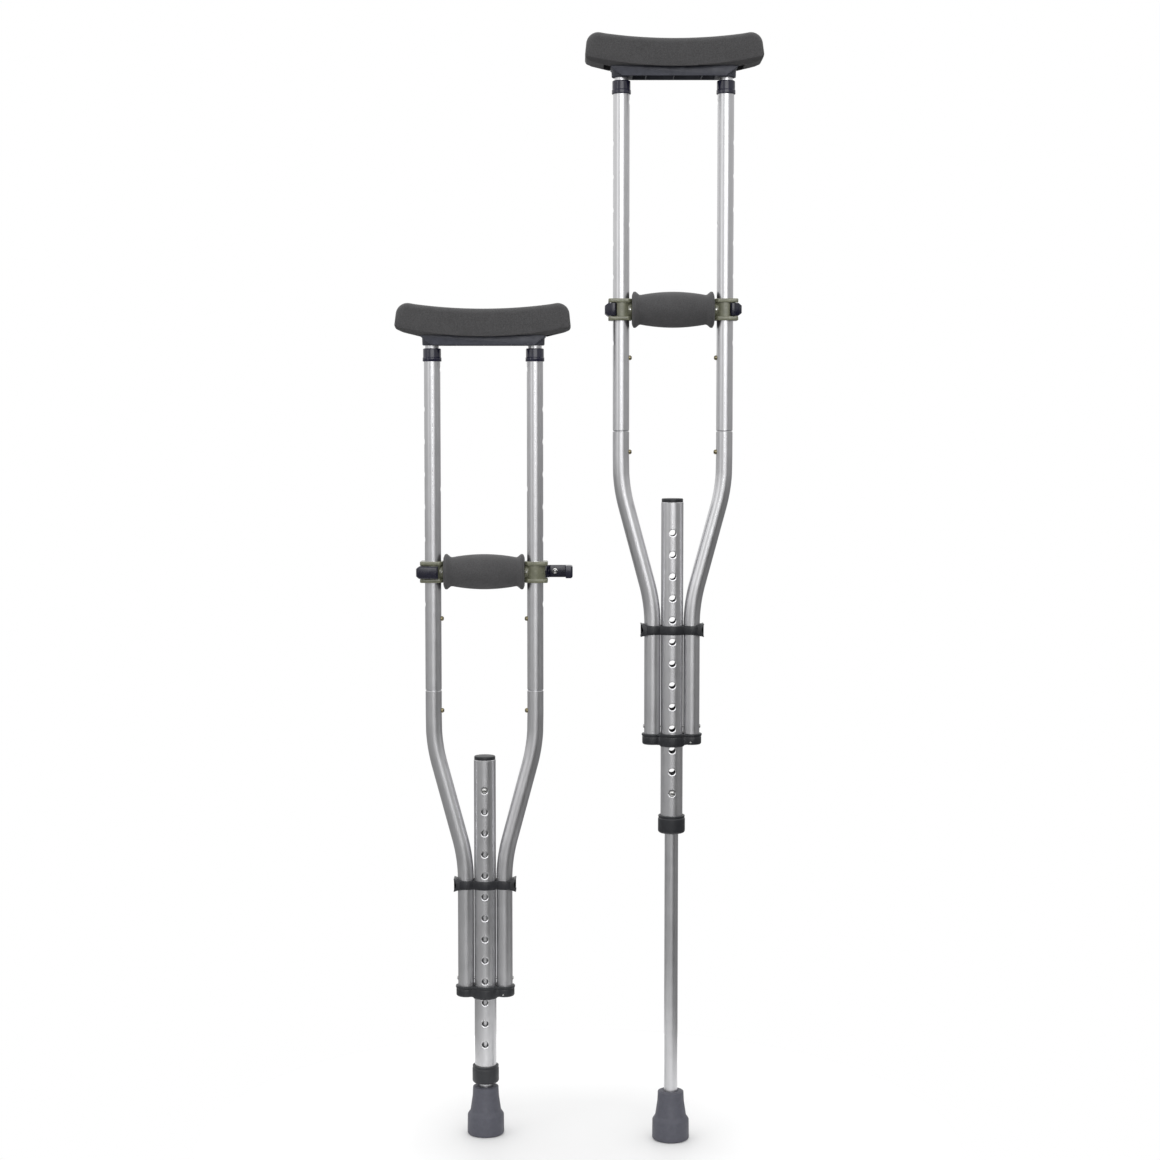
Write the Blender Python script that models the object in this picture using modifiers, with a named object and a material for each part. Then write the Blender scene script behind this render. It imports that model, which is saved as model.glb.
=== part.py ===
"""A pair of adjustable underarm crutches: one with its leg drawn in, one with its leg pulled out.

Units are metres, +Z is up, and the front faces -Y.
The world origin is the middle of the tall crutch's handgrip, where a hand holds it.
Inside one crutch, X = 0 is its centre tube, and heights count from the top hole of that tube.
"""

import math

import bmesh
import bpy
from mathutils import Matrix, Vector

# ---------------------------------------------------------------- driving dimensions
GAP = 0.0003                     # clearance between pieces that rest on or slide in each other

TUBE_R = 0.009525                # upper tubes and bow tubes, 3/4 inch
TUBE_BORE_R = 0.00825
POST_R = 0.00794                 # pad posts and leg, 5/8 inch
POST_BORE_R = 0.0067
CENTRE_R = 0.0129                # centre tube, 1 inch
CENTRE_BORE_R = 0.0115

TUBE_X = 0.060                   # upper tubes, from the centre line
BOW_X = 0.02285                  # bow tubes beside the centre tube
BEND_TOP_Z = 0.0547              # corner where a bow tube starts to lean inward
BEND_LOW_Z = -0.0835             # corner where it runs straight down again
BEND_R = 0.190
BEND_STEPS = 4

LEG_PITCH = 0.0254               # holes of the centre tube
LEG_HOLES = 13
LEG_TRAVEL = LEG_PITCH * (LEG_HOLES - 1)
LEG_HOLE_R = 0.0039
CENTRE_TOP_Z = 0.0354
CENTRE_LOW_Z = -0.347
PLUG_TOP_Z = 0.0397

GRIP_Z = 0.2577
GRIP_PITCH = 0.0381              # holes for the handgrip's locating studs
GRIP_HOLES_UP = 5
GRIP_HOLES_DOWN = 1
STUD_HOLE_R = 0.0033

SEAM_Z = 0.1176                  # where an upper tube enters its bow tube
NECK_LOW_Z = 0.079
BOW_BUTTON_Z = 0.0937
POST_BUTTON_Z = 0.2025
POST_SIZES = (0.0, 0.1524, 0.2921)   # pad heights, counted from the lowest
SNAP_HOLE_R = 0.0031

COLLAR_LOW_Z = 0.502
COLLAR_TOP_Z = 0.5186
COLLAR_R = 0.0110
TUBE_TOP_Z = 0.5150
POST_LOW_Z = 0.178
BRACKET_LOW_Z = 0.523
BRACKET_DEPTH = 0.036
SOCKET_DEEP = 0.0088             # how far a post goes up into the bracket
PAD_LOW_Z = 0.534                # underside of the pad's front edge, at mid length
PAD_RISE = 0.0065                # how much higher the pad's ends stand
PAD_TOP_RISE = 0.0075            # the same for its upper edge
PAD_THICK = 0.0303
PAD_LENGTH = 0.204
PAD_DEPTH = 0.050
EDGE_ROUND = 0.004

BAND_Z = -0.1138
BRACE_Z = -0.2417
LEG_COLLAR_TOP_Z = -0.332
LEG_COLLAR_LOW_Z = -0.353
LEG_COLLAR_R = 0.01585

LEG_TOP_Z = 0.020
TIP_TOP_Z = -0.3573
SOLE_Z = -0.4152                 # underside of the rubber tip, leg drawn in
LEG_LOW_Z = -0.407

SADDLE_HALF = 0.0125             # half height of a saddle
FLANGE = 0.0047
LEVER_HALF = 0.0072
HINGE_OUT = 0.0122               # lever hinge, outward from the tube's axis
HINGE_BACK = 0.0108              # and across it
KNUCKLE_R = 0.0030
PIN_R = 0.0012
STUD_R = 0.0026                  # a lever's stud, which enters a hole of the tube
STUD_ROOM_R = 0.0045             # and its opening in the saddle
LEVER_REACH = 0.0210             # outer face of the lever's hook, from the tube's axis
GRIP_END = 0.0125                # end of the foam, from the tube's axis
GRIP_BORE_R = 0.0113
SPIGOT_R = 0.0081                # a saddle's peg inside the grip's core

SNAP_RISE = 0.0030               # how far a spring button stands out of its tube
LEG_BUTTON_RISE = 0.0024
SNAP_FOOT = (0.0040, 0.0050)     # a button's foot inside the tube, from the tube's axis
LEG_BUTTON_FOOT = (0.0034, 0.0044)

OVER = 0.002                     # how far a drill passes the surface it leaves
DRILL_FROM = 0.003               # and where it starts, from the tube's axis
SEGMENTS = 12                    # sides of a tube
HOLE_SEGMENTS = 8
SMALL_SEGMENTS = 8

# each crutch: where its top hole is, how far its leg is out, which way round its grip is,
# and the one lever that stands open, if any
TALL_AT = Vector((0.0, 0.0, -GRIP_Z))
SHORT_AT = Vector((-0.2201, 0.0195, -GRIP_Z - LEG_TRAVEL))
OPEN_ANGLE = math.radians(90)


# ---------------------------------------------------------------- scene and materials
def clear_scene():
    for obj in list(bpy.data.objects):
        bpy.data.objects.remove(obj, do_unlink=True)


def new_collection(name):
    coll = bpy.data.collections.new(name)
    bpy.context.scene.collection.children.link(coll)
    return coll


def principled(name, colour, roughness, metallic=0.0):
    mat = bpy.data.materials.new(name)
    mat.use_nodes = True
    shader = mat.node_tree.nodes["Principled BSDF"]
    shader.inputs["Base Color"].default_value = (*colour, 1.0)
    shader.inputs["Roughness"].default_value = roughness
    shader.inputs["Metallic"].default_value = metallic
    mat.diffuse_color = (*colour, 1.0)
    return mat


# ---------------------------------------------------------------- shape helpers
def baked(obj):
    """The object's evaluated mesh in world space; the working object is removed."""
    bpy.context.view_layer.update()
    graph = bpy.context.evaluated_depsgraph_get()
    mesh = bpy.data.meshes.new_from_object(obj.evaluated_get(graph))
    mesh.transform(obj.matrix_world)
    bpy.data.objects.remove(obj, do_unlink=True)
    return mesh


def working(name, data):
    obj = bpy.data.objects.new(name, data)
    bpy.context.scene.collection.objects.link(obj)
    return obj


def welded(mesh):
    bm = bmesh.new()
    bm.from_mesh(mesh)
    bmesh.ops.remove_doubles(bm, verts=bm.verts, dist=0.000002)
    bm.to_mesh(mesh)
    bm.free()
    return mesh


def turned(profile, segments):
    """Turn a loop of (radius, height) points about Z. It runs down the outside, then back up."""
    mesh = bpy.data.meshes.new("profile")
    count = len(profile)
    edges = [(i, (i + 1) % count) for i in range(count)]
    # a side that lies on the axis sweeps nothing
    edges = [(a, b) for a, b in edges if profile[a][0] > 0.0 or profile[b][0] > 0.0]
    mesh.from_pydata([(r, 0.0, z) for r, z in profile], edges, [])
    obj = working("turned", mesh)
    screw = obj.modifiers.new("Screw", "SCREW")
    screw.axis = "Z"
    screw.angle = math.tau
    screw.steps = segments
    screw.render_steps = segments
    screw.use_merge_vertices = True
    screw.merge_threshold = 0.00002
    return welded(baked(obj))


def round_bar(radius, low, high, segments, axis="Z", at=(0.0, 0.0, 0.0)):
    """A solid cylinder between two stations of one axis."""
    bm = bmesh.new()
    bmesh.ops.create_cone(bm, cap_ends=True, segments=segments,
                          radius1=radius, radius2=radius, depth=high - low)
    turn = {"Z": Matrix(), "X": Matrix.Rotation(math.pi / 2, 4, "Y"),
            "Y": Matrix.Rotation(-math.pi / 2, 4, "X")}[axis]
    move = Matrix.Translation(Vector(at)) @ turn @ Matrix.Translation((0, 0, (low + high) / 2))
    bmesh.ops.transform(bm, matrix=move, verts=bm.verts)
    mesh = bpy.data.meshes.new("bar")
    bm.to_mesh(mesh)
    bm.free()
    return mesh


def block(low, high):
    bm = bmesh.new()
    bmesh.ops.create_cube(bm, size=1.0)
    size = Vector(high) - Vector(low)
    middle = (Vector(high) + Vector(low)) / 2
    move = Matrix.Translation(middle) @ Matrix.Diagonal((*size, 1.0))
    bmesh.ops.transform(bm, matrix=move, verts=bm.verts)
    mesh = bpy.data.meshes.new("block")
    bm.to_mesh(mesh)
    bm.free()
    return mesh


def slab(outline, low, high, upright=False):
    """A flat outline given thickness: along Z, or along Y when the outline stands upright."""
    curve = bpy.data.curves.new("outline", "CURVE")
    curve.dimensions = "2D"
    curve.fill_mode = "BOTH"
    curve.extrude = (high - low) / 2
    spline = curve.splines.new("POLY")
    spline.points.add(len(outline) - 1)
    for point, (x, y) in zip(spline.points, outline):
        point.co = (x, y, 0.0, 1.0)
    spline.use_cyclic_u = True
    obj = working("slab", curve)
    middle = (low + high) / 2
    if upright:
        obj.matrix_world = Matrix.Translation((0, middle, 0)) @ Matrix.Rotation(math.pi / 2, 4, "X")
    else:
        obj.matrix_world = Matrix.Translation((0, 0, middle))
    return welded(baked(obj))


def combined(mesh, others, operation):
    """Boolean a list of meshes into, or out of, the first one."""
    base = working("base", mesh)
    tools = []
    for other in others:
        tool = working("tool", other)
        tools.append(tool)
        step = base.modifiers.new("Boolean", "BOOLEAN")
        step.solver = "EXACT"
        step.operation = operation
        step.object = tool
    result = baked(base)
    for tool in tools:
        bpy.data.objects.remove(tool, do_unlink=True)
    return welded(result)


def cut(mesh, tools):
    return combined(mesh, tools, "DIFFERENCE")


def fused(mesh, others):
    return combined(mesh, others, "UNION")


def arc(centre, radius, start, end, steps):
    """Points of an arc, angles in degrees."""
    points = []
    for i in range(steps + 1):
        a = math.radians(start + (end - start) * i / steps)
        points.append((centre[0] + radius * math.cos(a), centre[1] + radius * math.sin(a)))
    return points


def sleeve(outer, bore, low, high, segments):
    """A plain tube standing on Z."""
    return turned([(outer, high), (outer, low), (bore, low), (bore, high)], segments)


# ---------------------------------------------------------------- tubes
def centre_tube_mesh():
    tube = sleeve(CENTRE_R, CENTRE_BORE_R, CENTRE_LOW_Z, CENTRE_TOP_Z, SEGMENTS)
    reach = CENTRE_R + OVER
    drills = [round_bar(LEG_HOLE_R, -reach, reach, HOLE_SEGMENTS, "Y", (0, 0, -LEG_PITCH * i))
              for i in range(LEG_HOLES)]
    return cut(tube, drills)


def upper_tube_mesh():
    """An upper tube about its own axis; +X is the outer side, with the handgrip's holes."""
    neck_r = TUBE_BORE_R - GAP
    wall = TUBE_R - TUBE_BORE_R
    neck_bore = neck_r - wall
    shoulder = SEAM_Z + GAP
    chamfer = 0.0007
    chamfer_rise = 0.0015
    swage_rise = 0.004
    profile = [(TUBE_R, TUBE_TOP_Z), (TUBE_R, shoulder + chamfer_rise), (TUBE_R - chamfer, shoulder),
               (neck_r, shoulder - GAP), (neck_r, NECK_LOW_Z), (neck_bore, NECK_LOW_Z),
               (neck_bore, shoulder), (TUBE_BORE_R, shoulder + swage_rise), (TUBE_BORE_R, TUBE_TOP_Z)]
    tube = turned(profile, SEGMENTS)
    far = TUBE_R + OVER
    drills = []
    for step in range(-GRIP_HOLES_DOWN, GRIP_HOLES_UP + 1):
        at = (0, 0, GRIP_Z + GRIP_PITCH * step)
        drills.append(round_bar(STUD_HOLE_R, DRILL_FROM, far, HOLE_SEGMENTS, "X", at))
    for rise in POST_SIZES:
        at = (0, 0, POST_BUTTON_Z + rise)
        drills.append(round_bar(SNAP_HOLE_R, -far, -DRILL_FROM, HOLE_SEGMENTS, "X", at))
    drills.append(round_bar(SNAP_HOLE_R, -far, -DRILL_FROM, HOLE_SEGMENTS, "X", (0, 0, BOW_BUTTON_Z)))
    return cut(tube, drills)


def bow_path():
    """Centre line of a bow tube: down, inward, and down again, with round bends."""
    lean = math.atan2(TUBE_X - BOW_X, BEND_TOP_Z - BEND_LOW_Z)
    tangent = BEND_R * math.tan(lean / 2)
    path = [(TUBE_X, SEAM_Z)]
    for i in range(BEND_STEPS + 1):
        a = lean * i / BEND_STEPS
        path.append((TUBE_X - BEND_R * (1 - math.cos(a)), BEND_TOP_Z + tangent - BEND_R * math.sin(a)))
    for i in range(BEND_STEPS + 1):
        a = lean * (1 - i / BEND_STEPS)
        path.append((BOW_X + BEND_R * (1 - math.cos(a)), BEND_LOW_Z - tangent + BEND_R * math.sin(a)))
    path.append((BOW_X, BRACE_Z))
    return path


def bow_tube_mesh():
    """A bow tube in the crutch's own place on the +X side."""
    curve = bpy.data.curves.new("bow", "CURVE")
    curve.dimensions = "3D"
    curve.bevel_depth = TUBE_R
    curve.bevel_resolution = (SEGMENTS - 4) // 2
    curve.use_fill_caps = False
    path = bow_path()
    spline = curve.splines.new("POLY")
    spline.points.add(len(path) - 1)
    for point, (x, z) in zip(spline.points, path):
        point.co = (x, 0.0, z, 1.0)
    skin = working("bow", welded(baked(working("bow", curve))))
    wall = skin.modifiers.new("Solidify", "SOLIDIFY")
    wall.thickness = TUBE_R - TUBE_BORE_R
    wall.offset = -1.0
    tube = baked(skin)
    drill = round_bar(SNAP_HOLE_R, TUBE_X - TUBE_R - OVER, TUBE_X - DRILL_FROM, HOLE_SEGMENTS, "X",
                      (0, 0, BOW_BUTTON_Z))
    return cut(tube, [drill])


def post_mesh():
    """A pad post about its own axis; its button hole faces -X, towards the crutch's middle."""
    post = sleeve(POST_R, POST_BORE_R, POST_LOW_Z, BRACKET_LOW_Z + SOCKET_DEEP - GAP, SEGMENTS)
    drill = round_bar(SNAP_HOLE_R, -POST_R - OVER, -DRILL_FROM, HOLE_SEGMENTS, "X", (0, 0, POST_BUTTON_Z))
    return cut(post, [drill])


def leg_tube_mesh():
    """The sliding leg with the guide bush at its top; its button hole faces the front."""
    bush_r = CENTRE_BORE_R - GAP
    bush_low = -0.014
    edge = 0.001
    profile = [(bush_r - edge, LEG_TOP_Z), (bush_r, LEG_TOP_Z - edge), (bush_r, bush_low + edge),
               (bush_r - edge, bush_low), (POST_R, bush_low), (POST_R, LEG_LOW_Z),
               (POST_BORE_R, LEG_LOW_Z), (POST_BORE_R, LEG_TOP_Z)]
    tube = turned(profile, SEGMENTS)
    drill = round_bar(LEG_HOLE_R - GAP, -CENTRE_R, -DRILL_FROM, HOLE_SEGMENTS, "Y")
    return cut(tube, [drill])


# ---------------------------------------------------------------- collars, plug, tip, clamps
def collar_mesh():
    """The bush that caps an upper tube and guides its post."""
    lip = TUBE_TOP_Z + GAP
    shoulder = 0.0017
    edge = 0.0004
    profile = [(COLLAR_R - shoulder, COLLAR_TOP_Z), (COLLAR_R, COLLAR_TOP_Z - shoulder),
               (COLLAR_R, COLLAR_LOW_Z + edge), (COLLAR_R - edge, COLLAR_LOW_Z),
               (TUBE_R + GAP, COLLAR_LOW_Z), (TUBE_R + GAP, lip), (TUBE_BORE_R, lip),
               (TUBE_BORE_R, COLLAR_TOP_Z)]
    return turned(profile, SEGMENTS)


def leg_collar_mesh():
    """The collar on the bottom of the centre tube; its lip guides the leg."""
    lip = CENTRE_LOW_Z - GAP
    edge = 0.0008
    round_off = 0.003
    profile = [(LEG_COLLAR_R - edge, LEG_COLLAR_TOP_Z), (LEG_COLLAR_R, LEG_COLLAR_TOP_Z - edge),
               (LEG_COLLAR_R, LEG_COLLAR_LOW_Z + round_off),
               (LEG_COLLAR_R - round_off / 3, LEG_COLLAR_LOW_Z + round_off / 3),
               (LEG_COLLAR_R - round_off, LEG_COLLAR_LOW_Z), (TUBE_BORE_R, LEG_COLLAR_LOW_Z),
               (TUBE_BORE_R, lip), (CENTRE_R + GAP, lip), (CENTRE_R + GAP, LEG_COLLAR_TOP_Z)]
    return turned(profile, SEGMENTS)


def plug_mesh():
    rest = CENTRE_TOP_Z + GAP
    stem_low = 0.024
    stem_r = CENTRE_BORE_R - GAP
    head_r = CENTRE_R - 0.0005
    crown = 0.0003
    edge = 0.0015
    profile = [(0.0, PLUG_TOP_Z), (head_r - edge, PLUG_TOP_Z - crown), (head_r, PLUG_TOP_Z - edge),
               (head_r, rest), (stem_r, rest), (stem_r, stem_low), (0.0, stem_low)]
    return turned(profile, SEGMENTS)


def tip_mesh():
    """The rubber ferrule, hollow from the top, with a flat sole."""
    bore = POST_R + GAP
    floor = LEG_LOW_Z - GAP
    shoulder = SOLE_Z + 0.026
    rim_r = 0.0150
    rim_low = TIP_TOP_Z - 0.005
    waist_r = 0.0182
    foot_r = 0.0220
    sole_r = 0.0190
    edge = 0.001
    flare = 0.004
    profile = [(rim_r - edge, TIP_TOP_Z), (rim_r, TIP_TOP_Z - edge), (rim_r, rim_low),
               (waist_r, shoulder + flare), (foot_r - edge / 2, shoulder), (foot_r, shoulder - flare),
               (foot_r, SOLE_Z + flare), (foot_r - edge, SOLE_Z + edge), (sole_r, SOLE_Z),
               (0.0, SOLE_Z), (0.0, floor), (bore, floor), (bore, TIP_TOP_Z)]
    return turned(profile, SEGMENTS)


def three_tube_outline(half_width, depth, middle_bulge):
    """Plan outline of a clamp around the three lower tubes, anticlockwise from the right front."""
    side = arc((half_width - depth, 0.0), depth, -90, 90, 6)
    bulge_end = 0.0103
    valley = 0.0161
    front = [(bulge_end, -middle_bulge), (valley, -depth - 2 * GAP)]
    return ([(-x, y) for x, y in front[::-1]] + front + side
            + [(x, -y) for x, y in front[::-1]]
            + [(-x, -y) for x, y in front] + [(-x, -y) for x, y in side])


def tube_bores(low, high, bow_low=None):
    """One cutter that leaves the three lower tubes their room; bow tubes may stop higher up."""
    bow_low = low if bow_low is None else bow_low
    bows = [round_bar(TUBE_R + GAP, bow_low, high, SEGMENTS, "Z", (x, 0, 0)) for x in (-BOW_X, BOW_X)]
    slot_half = 0.0025
    step = 0.0005                # keeps the cutter's end faces out of one plane
    slot = block((-BOW_X, -slot_half, bow_low + step / 2), (BOW_X, slot_half, high - step))
    return fused(round_bar(CENTRE_R + GAP, low, high + step, SEGMENTS), [slot, *bows])


def clamp_band_mesh():
    """The band at the bows: its ends are taller than its middle and notched at mid height."""
    half_width = 0.0371
    end_half = 0.0079
    mid_half = 0.0052
    notch = 0.0016
    depth = 0.0118
    bulge = 0.0152
    plan = three_tube_outline(half_width, depth, bulge)
    body = slab(plan, BAND_Z - end_half - OVER, BAND_Z + end_half + OVER)
    shoulder_x = half_width - 0.006
    shoulder_half = end_half - 0.0006
    waist_x = 0.012
    right = [(waist_x, -mid_half), (shoulder_x, -shoulder_half), (half_width, -end_half),
             (half_width - notch, 0.0), (half_width, end_half), (shoulder_x, shoulder_half),
             (waist_x, mid_half)]
    face = right + [(-x, -z) for x, z in right]
    face = [(x, BAND_Z + z) for x, z in face]
    body = combined(body, [slab(face, -bulge - OVER, bulge + OVER, upright=True)], "INTERSECT")
    return cut(body, [tube_bores(BAND_Z - end_half - OVER, BAND_Z + end_half + OVER)])


def end_bracket_mesh():
    """The cup that holds the ends of the bow tubes, with a deeper lobe round the centre tube."""
    half = 0.00645
    low = BRACE_Z - half
    half_width = 0.0352
    depth = 0.0122
    bulge = 0.0158
    plan = three_tube_outline(half_width, depth, bulge)
    body = slab(plan, low, BRACE_Z + half)
    lobe_r = 0.0169
    lobe_low = low - 0.0022
    lobe_top = BRACE_Z - 0.001
    edge = 0.0016
    lobe = turned([(lobe_r - edge / 2, lobe_top), (lobe_r, lobe_low + edge), (lobe_r - edge, lobe_low),
                   (0.0, lobe_low), (0.0, lobe_top)], SEGMENTS)
    body = fused(body, [lobe])
    return cut(body, [tube_bores(lobe_low - OVER, BRACE_Z + half + OVER, BRACE_Z - GAP)])


# ---------------------------------------------------------------- underarm rest
def pad_curve(x, mid, rise):
    """Height of a line that rises by a parabola from mid length to the pad's ends."""
    return mid + rise * (2 * x / PAD_LENGTH) ** 2


def pad_mesh():
    half = PAD_LENGTH / 2
    corner = 0.0145
    low_corner = 0.006
    inset = 0.0035
    steps = 8
    xs = [(-1 + 2 * i / steps) * (half - corner - inset) for i in range(steps + 1)]
    top = [(x, pad_curve(x, PAD_LOW_Z + PAD_THICK, PAD_TOP_RISE)) for x in xs]
    ys = [(-1 + 2 * i / steps) * (half - low_corner) for i in range(steps + 1)]
    under = [(x, pad_curve(x, PAD_LOW_Z, PAD_RISE)) for x in ys]
    top_end = (half - corner - inset, top[-1][1] - corner)
    low_end = (half - low_corner, under[-1][1] + low_corner)
    lean = 5
    right = (arc(low_end, low_corner, lean - 85, lean, 5)
             + arc(top_end, corner, lean, lean + 75, 6))
    left = [(-x, z) for x, z in right[::-1]]
    outline = under + right + top[::-1] + left
    pad = working("pad", slab(outline, -PAD_DEPTH / 2, PAD_DEPTH / 2, upright=True))
    edge = pad.modifiers.new("Bevel", "BEVEL")
    edge.width = EDGE_ROUND
    edge.segments = 2
    edge.limit_method = "ANGLE"
    edge.angle_limit = math.radians(60)
    return baked(pad)


def underarm_bracket_mesh():
    """The moulding under the pad: a tray open below with cross ribs, and a socket for each post."""
    top_half = 0.0725
    low_half = 0.0620
    side_high = 0.003            # height of the upright part of each end
    deep = BRACKET_DEPTH / 2
    steps = 10
    xs = [(-1 + 2 * i / steps) * top_half for i in range(steps + 1)]
    top = [(x, pad_curve(x, PAD_LOW_Z - GAP, PAD_RISE)) for x in xs]
    end_low = top[-1][1] - side_high
    outline = [(-low_half, BRACKET_LOW_Z), (low_half, BRACKET_LOW_Z), (top_half, end_low)]
    outline += top[::-1] + [(-top_half, end_low)]
    body = slab(outline, -deep, deep, upright=True)
    socket_r = POST_R + 0.0024
    socket_top = BRACKET_LOW_Z + SOCKET_DEEP + 0.0012
    sockets = [round_bar(socket_r, BRACKET_LOW_Z, socket_top, SEGMENTS, "Z", (x, 0, 0))
               for x in (-TUBE_X, TUBE_X)]
    wall = 0.002
    roof = 0.0025
    rib_pitch = 0.032
    tray_end = 0.0485
    edges = [-tray_end, -rib_pitch, 0.0, rib_pitch, tray_end]
    pockets = []
    for left, right in zip(edges, edges[1:]):
        pockets.append(block((left + wall / 2, -deep + wall, BRACKET_LOW_Z - OVER),
                             (right - wall / 2, deep - wall, PAD_LOW_Z - roof)))
    body = cut(fused(body, sockets), pockets)
    low, high = BRACKET_LOW_Z - OVER, BRACKET_LOW_Z + SOCKET_DEEP
    bores = [round_bar(POST_R + GAP, low, high, SEGMENTS, "Z", (x, 0, 0)) for x in (-TUBE_X, TUBE_X)]
    return cut(body, bores)


# ---------------------------------------------------------------- handgrip
def grip_foam_mesh():
    """The foam sleeve, turned about X: flared ends and a swelling middle."""
    half = TUBE_X - GRIP_END
    end_r = 0.02085
    face_r = 0.0150
    neck_r = 0.0170
    mid_r = 0.0205
    edge = 0.0014
    flare_low = 0.0042           # stations from each end: widest, foot of the flare, start of the belly
    flare_foot = 0.0098
    belly_end = 0.0125
    steps = 6
    belly = []
    for i in range(steps + 1):
        t = -1 + 2 * i / steps
        swell = (mid_r - neck_r) * math.cos(t * math.pi / 2) ** 0.8
        belly.append((neck_r + swell, -t * (half - belly_end)))
    flare = [(face_r, 0.0), (end_r - edge, edge), (end_r, flare_low), (neck_r + edge, flare_foot)]
    profile = ([(r, half - z) for r, z in flare] + belly + [(r, z - half) for r, z in flare[::-1]]
               + [(GRIP_BORE_R, -half), (GRIP_BORE_R, half)])
    mesh = turned(profile, SEGMENTS)
    mesh.transform(Matrix.Rotation(math.pi / 2, 4, "Y"))
    return mesh


def grip_core_mesh():
    """The stiff tube inside the foam, which ends on the two saddles."""
    half = TUBE_X - GRIP_END - GAP
    mesh = sleeve(GRIP_BORE_R - GAP, SPIGOT_R + GAP, -half, half, SEGMENTS)
    mesh.transform(Matrix.Rotation(math.pi / 2, 4, "Y"))
    return mesh


def saddle_outline(hand):
    """Plan outline of a flange: round the tube, with a corner that holds the lever's hinge."""
    inner = -GRIP_END + GAP
    front = 0.0132
    back = HINGE_BACK + 0.0028
    out = 0.0148
    hinge_round = 0.0026
    plain_round = 0.004
    bevel = (0.003, 0.0015)
    points = arc((out - hinge_round, back - hinge_round), hinge_round, 0, 90, 3)
    points += [(0.002, front), (inner + bevel[0], front - bevel[1]), (inner, front - 0.005)]
    points += [(inner, -front + 0.005), (inner + bevel[0], -front + bevel[1]), (0.002, -front)]
    points += arc((out - plain_round, -front + plain_round), plain_round, -90, 0, 3)
    return [(x, hand * y) for x, y in (points if hand > 0 else points[::-1])]


def saddle_mesh(hand):
    """A saddle about its tube's axis: +X is the outer side, hand sets the hinge's side in Y."""
    z0 = GRIP_Z
    ring_r = 0.0121
    ring = round_bar(ring_r, z0 - SADDLE_HALF + FLANGE / 2, z0 + SADDLE_HALF - FLANGE / 2, SEGMENTS)
    plan = saddle_outline(hand)
    lower = slab(plan, z0 - SADDLE_HALF, z0 - SADDLE_HALF + FLANGE)
    upper = slab(plan, z0 + SADDLE_HALF - FLANGE, z0 + SADDLE_HALF)
    spigot_end = -GRIP_END - 0.010
    spigot = round_bar(SPIGOT_R, spigot_end, -TUBE_BORE_R, SEGMENTS, "X", (0, 0, z0))
    body = fused(lower, [ring, upper, spigot])
    hinge = (HINGE_OUT, hand * HINGE_BACK, 0)
    swing = LEVER_HALF + 0.0004
    low, high = z0 - SADDLE_HALF - OVER, z0 + SADDLE_HALF + OVER
    clear = round_bar(KNUCKLE_R + 0.0004, z0 - swing, z0 + swing, SMALL_SEGMENTS, "Z", hinge)
    bore = round_bar(TUBE_R + GAP, low, high, SEGMENTS)
    stud = round_bar(STUD_ROOM_R, 0.0, ring_r + OVER, SMALL_SEGMENTS, "X", (0, 0, z0))
    pin = round_bar(PIN_R + GAP, low, high, SMALL_SEGMENTS, "Z", hinge)
    return cut(body, [clear, bore, stud, pin])


def lever_mesh(hand):
    """A lever in its closed place about its tube's axis, with its locating stud."""
    z0 = GRIP_Z
    inner = 0.0127
    outer = 0.0188
    hook_in = -HINGE_BACK - 0.0020
    hook = -LEVER_REACH
    hook_end = -0.0068           # tip of the hook, across the tube's front
    hook_edge = 0.002
    corner = 0.005
    plan = arc((HINGE_OUT, HINGE_BACK), KNUCKLE_R, 0, 180, 6)
    plan += [(inner, HINGE_BACK - KNUCKLE_R - 0.001), (inner, hook_in), (hook_end, hook_in),
             (hook_end, hook + hook_edge), (hook_end + hook_edge, hook)]
    plan += arc((outer - corner, hook + corner), corner, -90, 0, 4) + [(outer, HINGE_BACK - 0.0048)]
    plan = [(x, hand * y) for x, y in (plan if hand > 0 else plan[::-1])]
    body = slab(plan, z0 - LEVER_HALF, z0 + LEVER_HALF)
    ridge = 0.0150
    face_half = 0.0042
    far = -0.0100
    face = [(far, -LEVER_HALF), (ridge, -LEVER_HALF), (outer, -face_half), (outer, face_half),
            (ridge, LEVER_HALF), (far, LEVER_HALF)]
    face = [(x, z0 + z) for x, z in face]
    body = combined(body, [slab(face, hook - OVER, -hook + OVER, upright=True)], "INTERSECT")
    stud_end = 0.0085            # from the tube's axis
    edge = 0.0008
    stud = turned([(0.0, ridge), (STUD_R, ridge), (STUD_R, stud_end + edge), (STUD_R - edge, stud_end),
                   (0.0, stud_end)], SMALL_SEGMENTS)
    stud.transform(Matrix.Translation((0, 0, z0)) @ Matrix.Rotation(math.pi / 2, 4, "Y"))
    body = fused(body, [stud])
    pin = round_bar(PIN_R + GAP, z0 - LEVER_HALF - OVER, z0 + LEVER_HALF + OVER, SMALL_SEGMENTS, "Z",
                    (HINGE_OUT, hand * HINGE_BACK, 0))
    return cut(body, [pin])


def pin_mesh():
    return round_bar(PIN_R, -SADDLE_HALF + GAP, SADDLE_HALF - GAP, SMALL_SEGMENTS)


# ---------------------------------------------------------------- snap buttons
def button_mesh(radius, foot, top):
    """A spring button along +X: a wide foot inside, a stem, and a domed head."""
    base, rim = foot
    foot_r = radius + 0.0011
    dome = [(0.0, 0.0), (0.55, 0.0003), (0.92, 0.0012), (1.0, 0.0022)]
    profile = [(radius * share, top - drop) for share, drop in dome]
    profile += [(radius, rim), (foot_r, rim), (foot_r, base), (0.0, base)]
    mesh = turned(profile, SMALL_SEGMENTS)
    mesh.transform(Matrix.Rotation(math.pi / 2, 4, "Y"))
    return mesh


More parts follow.
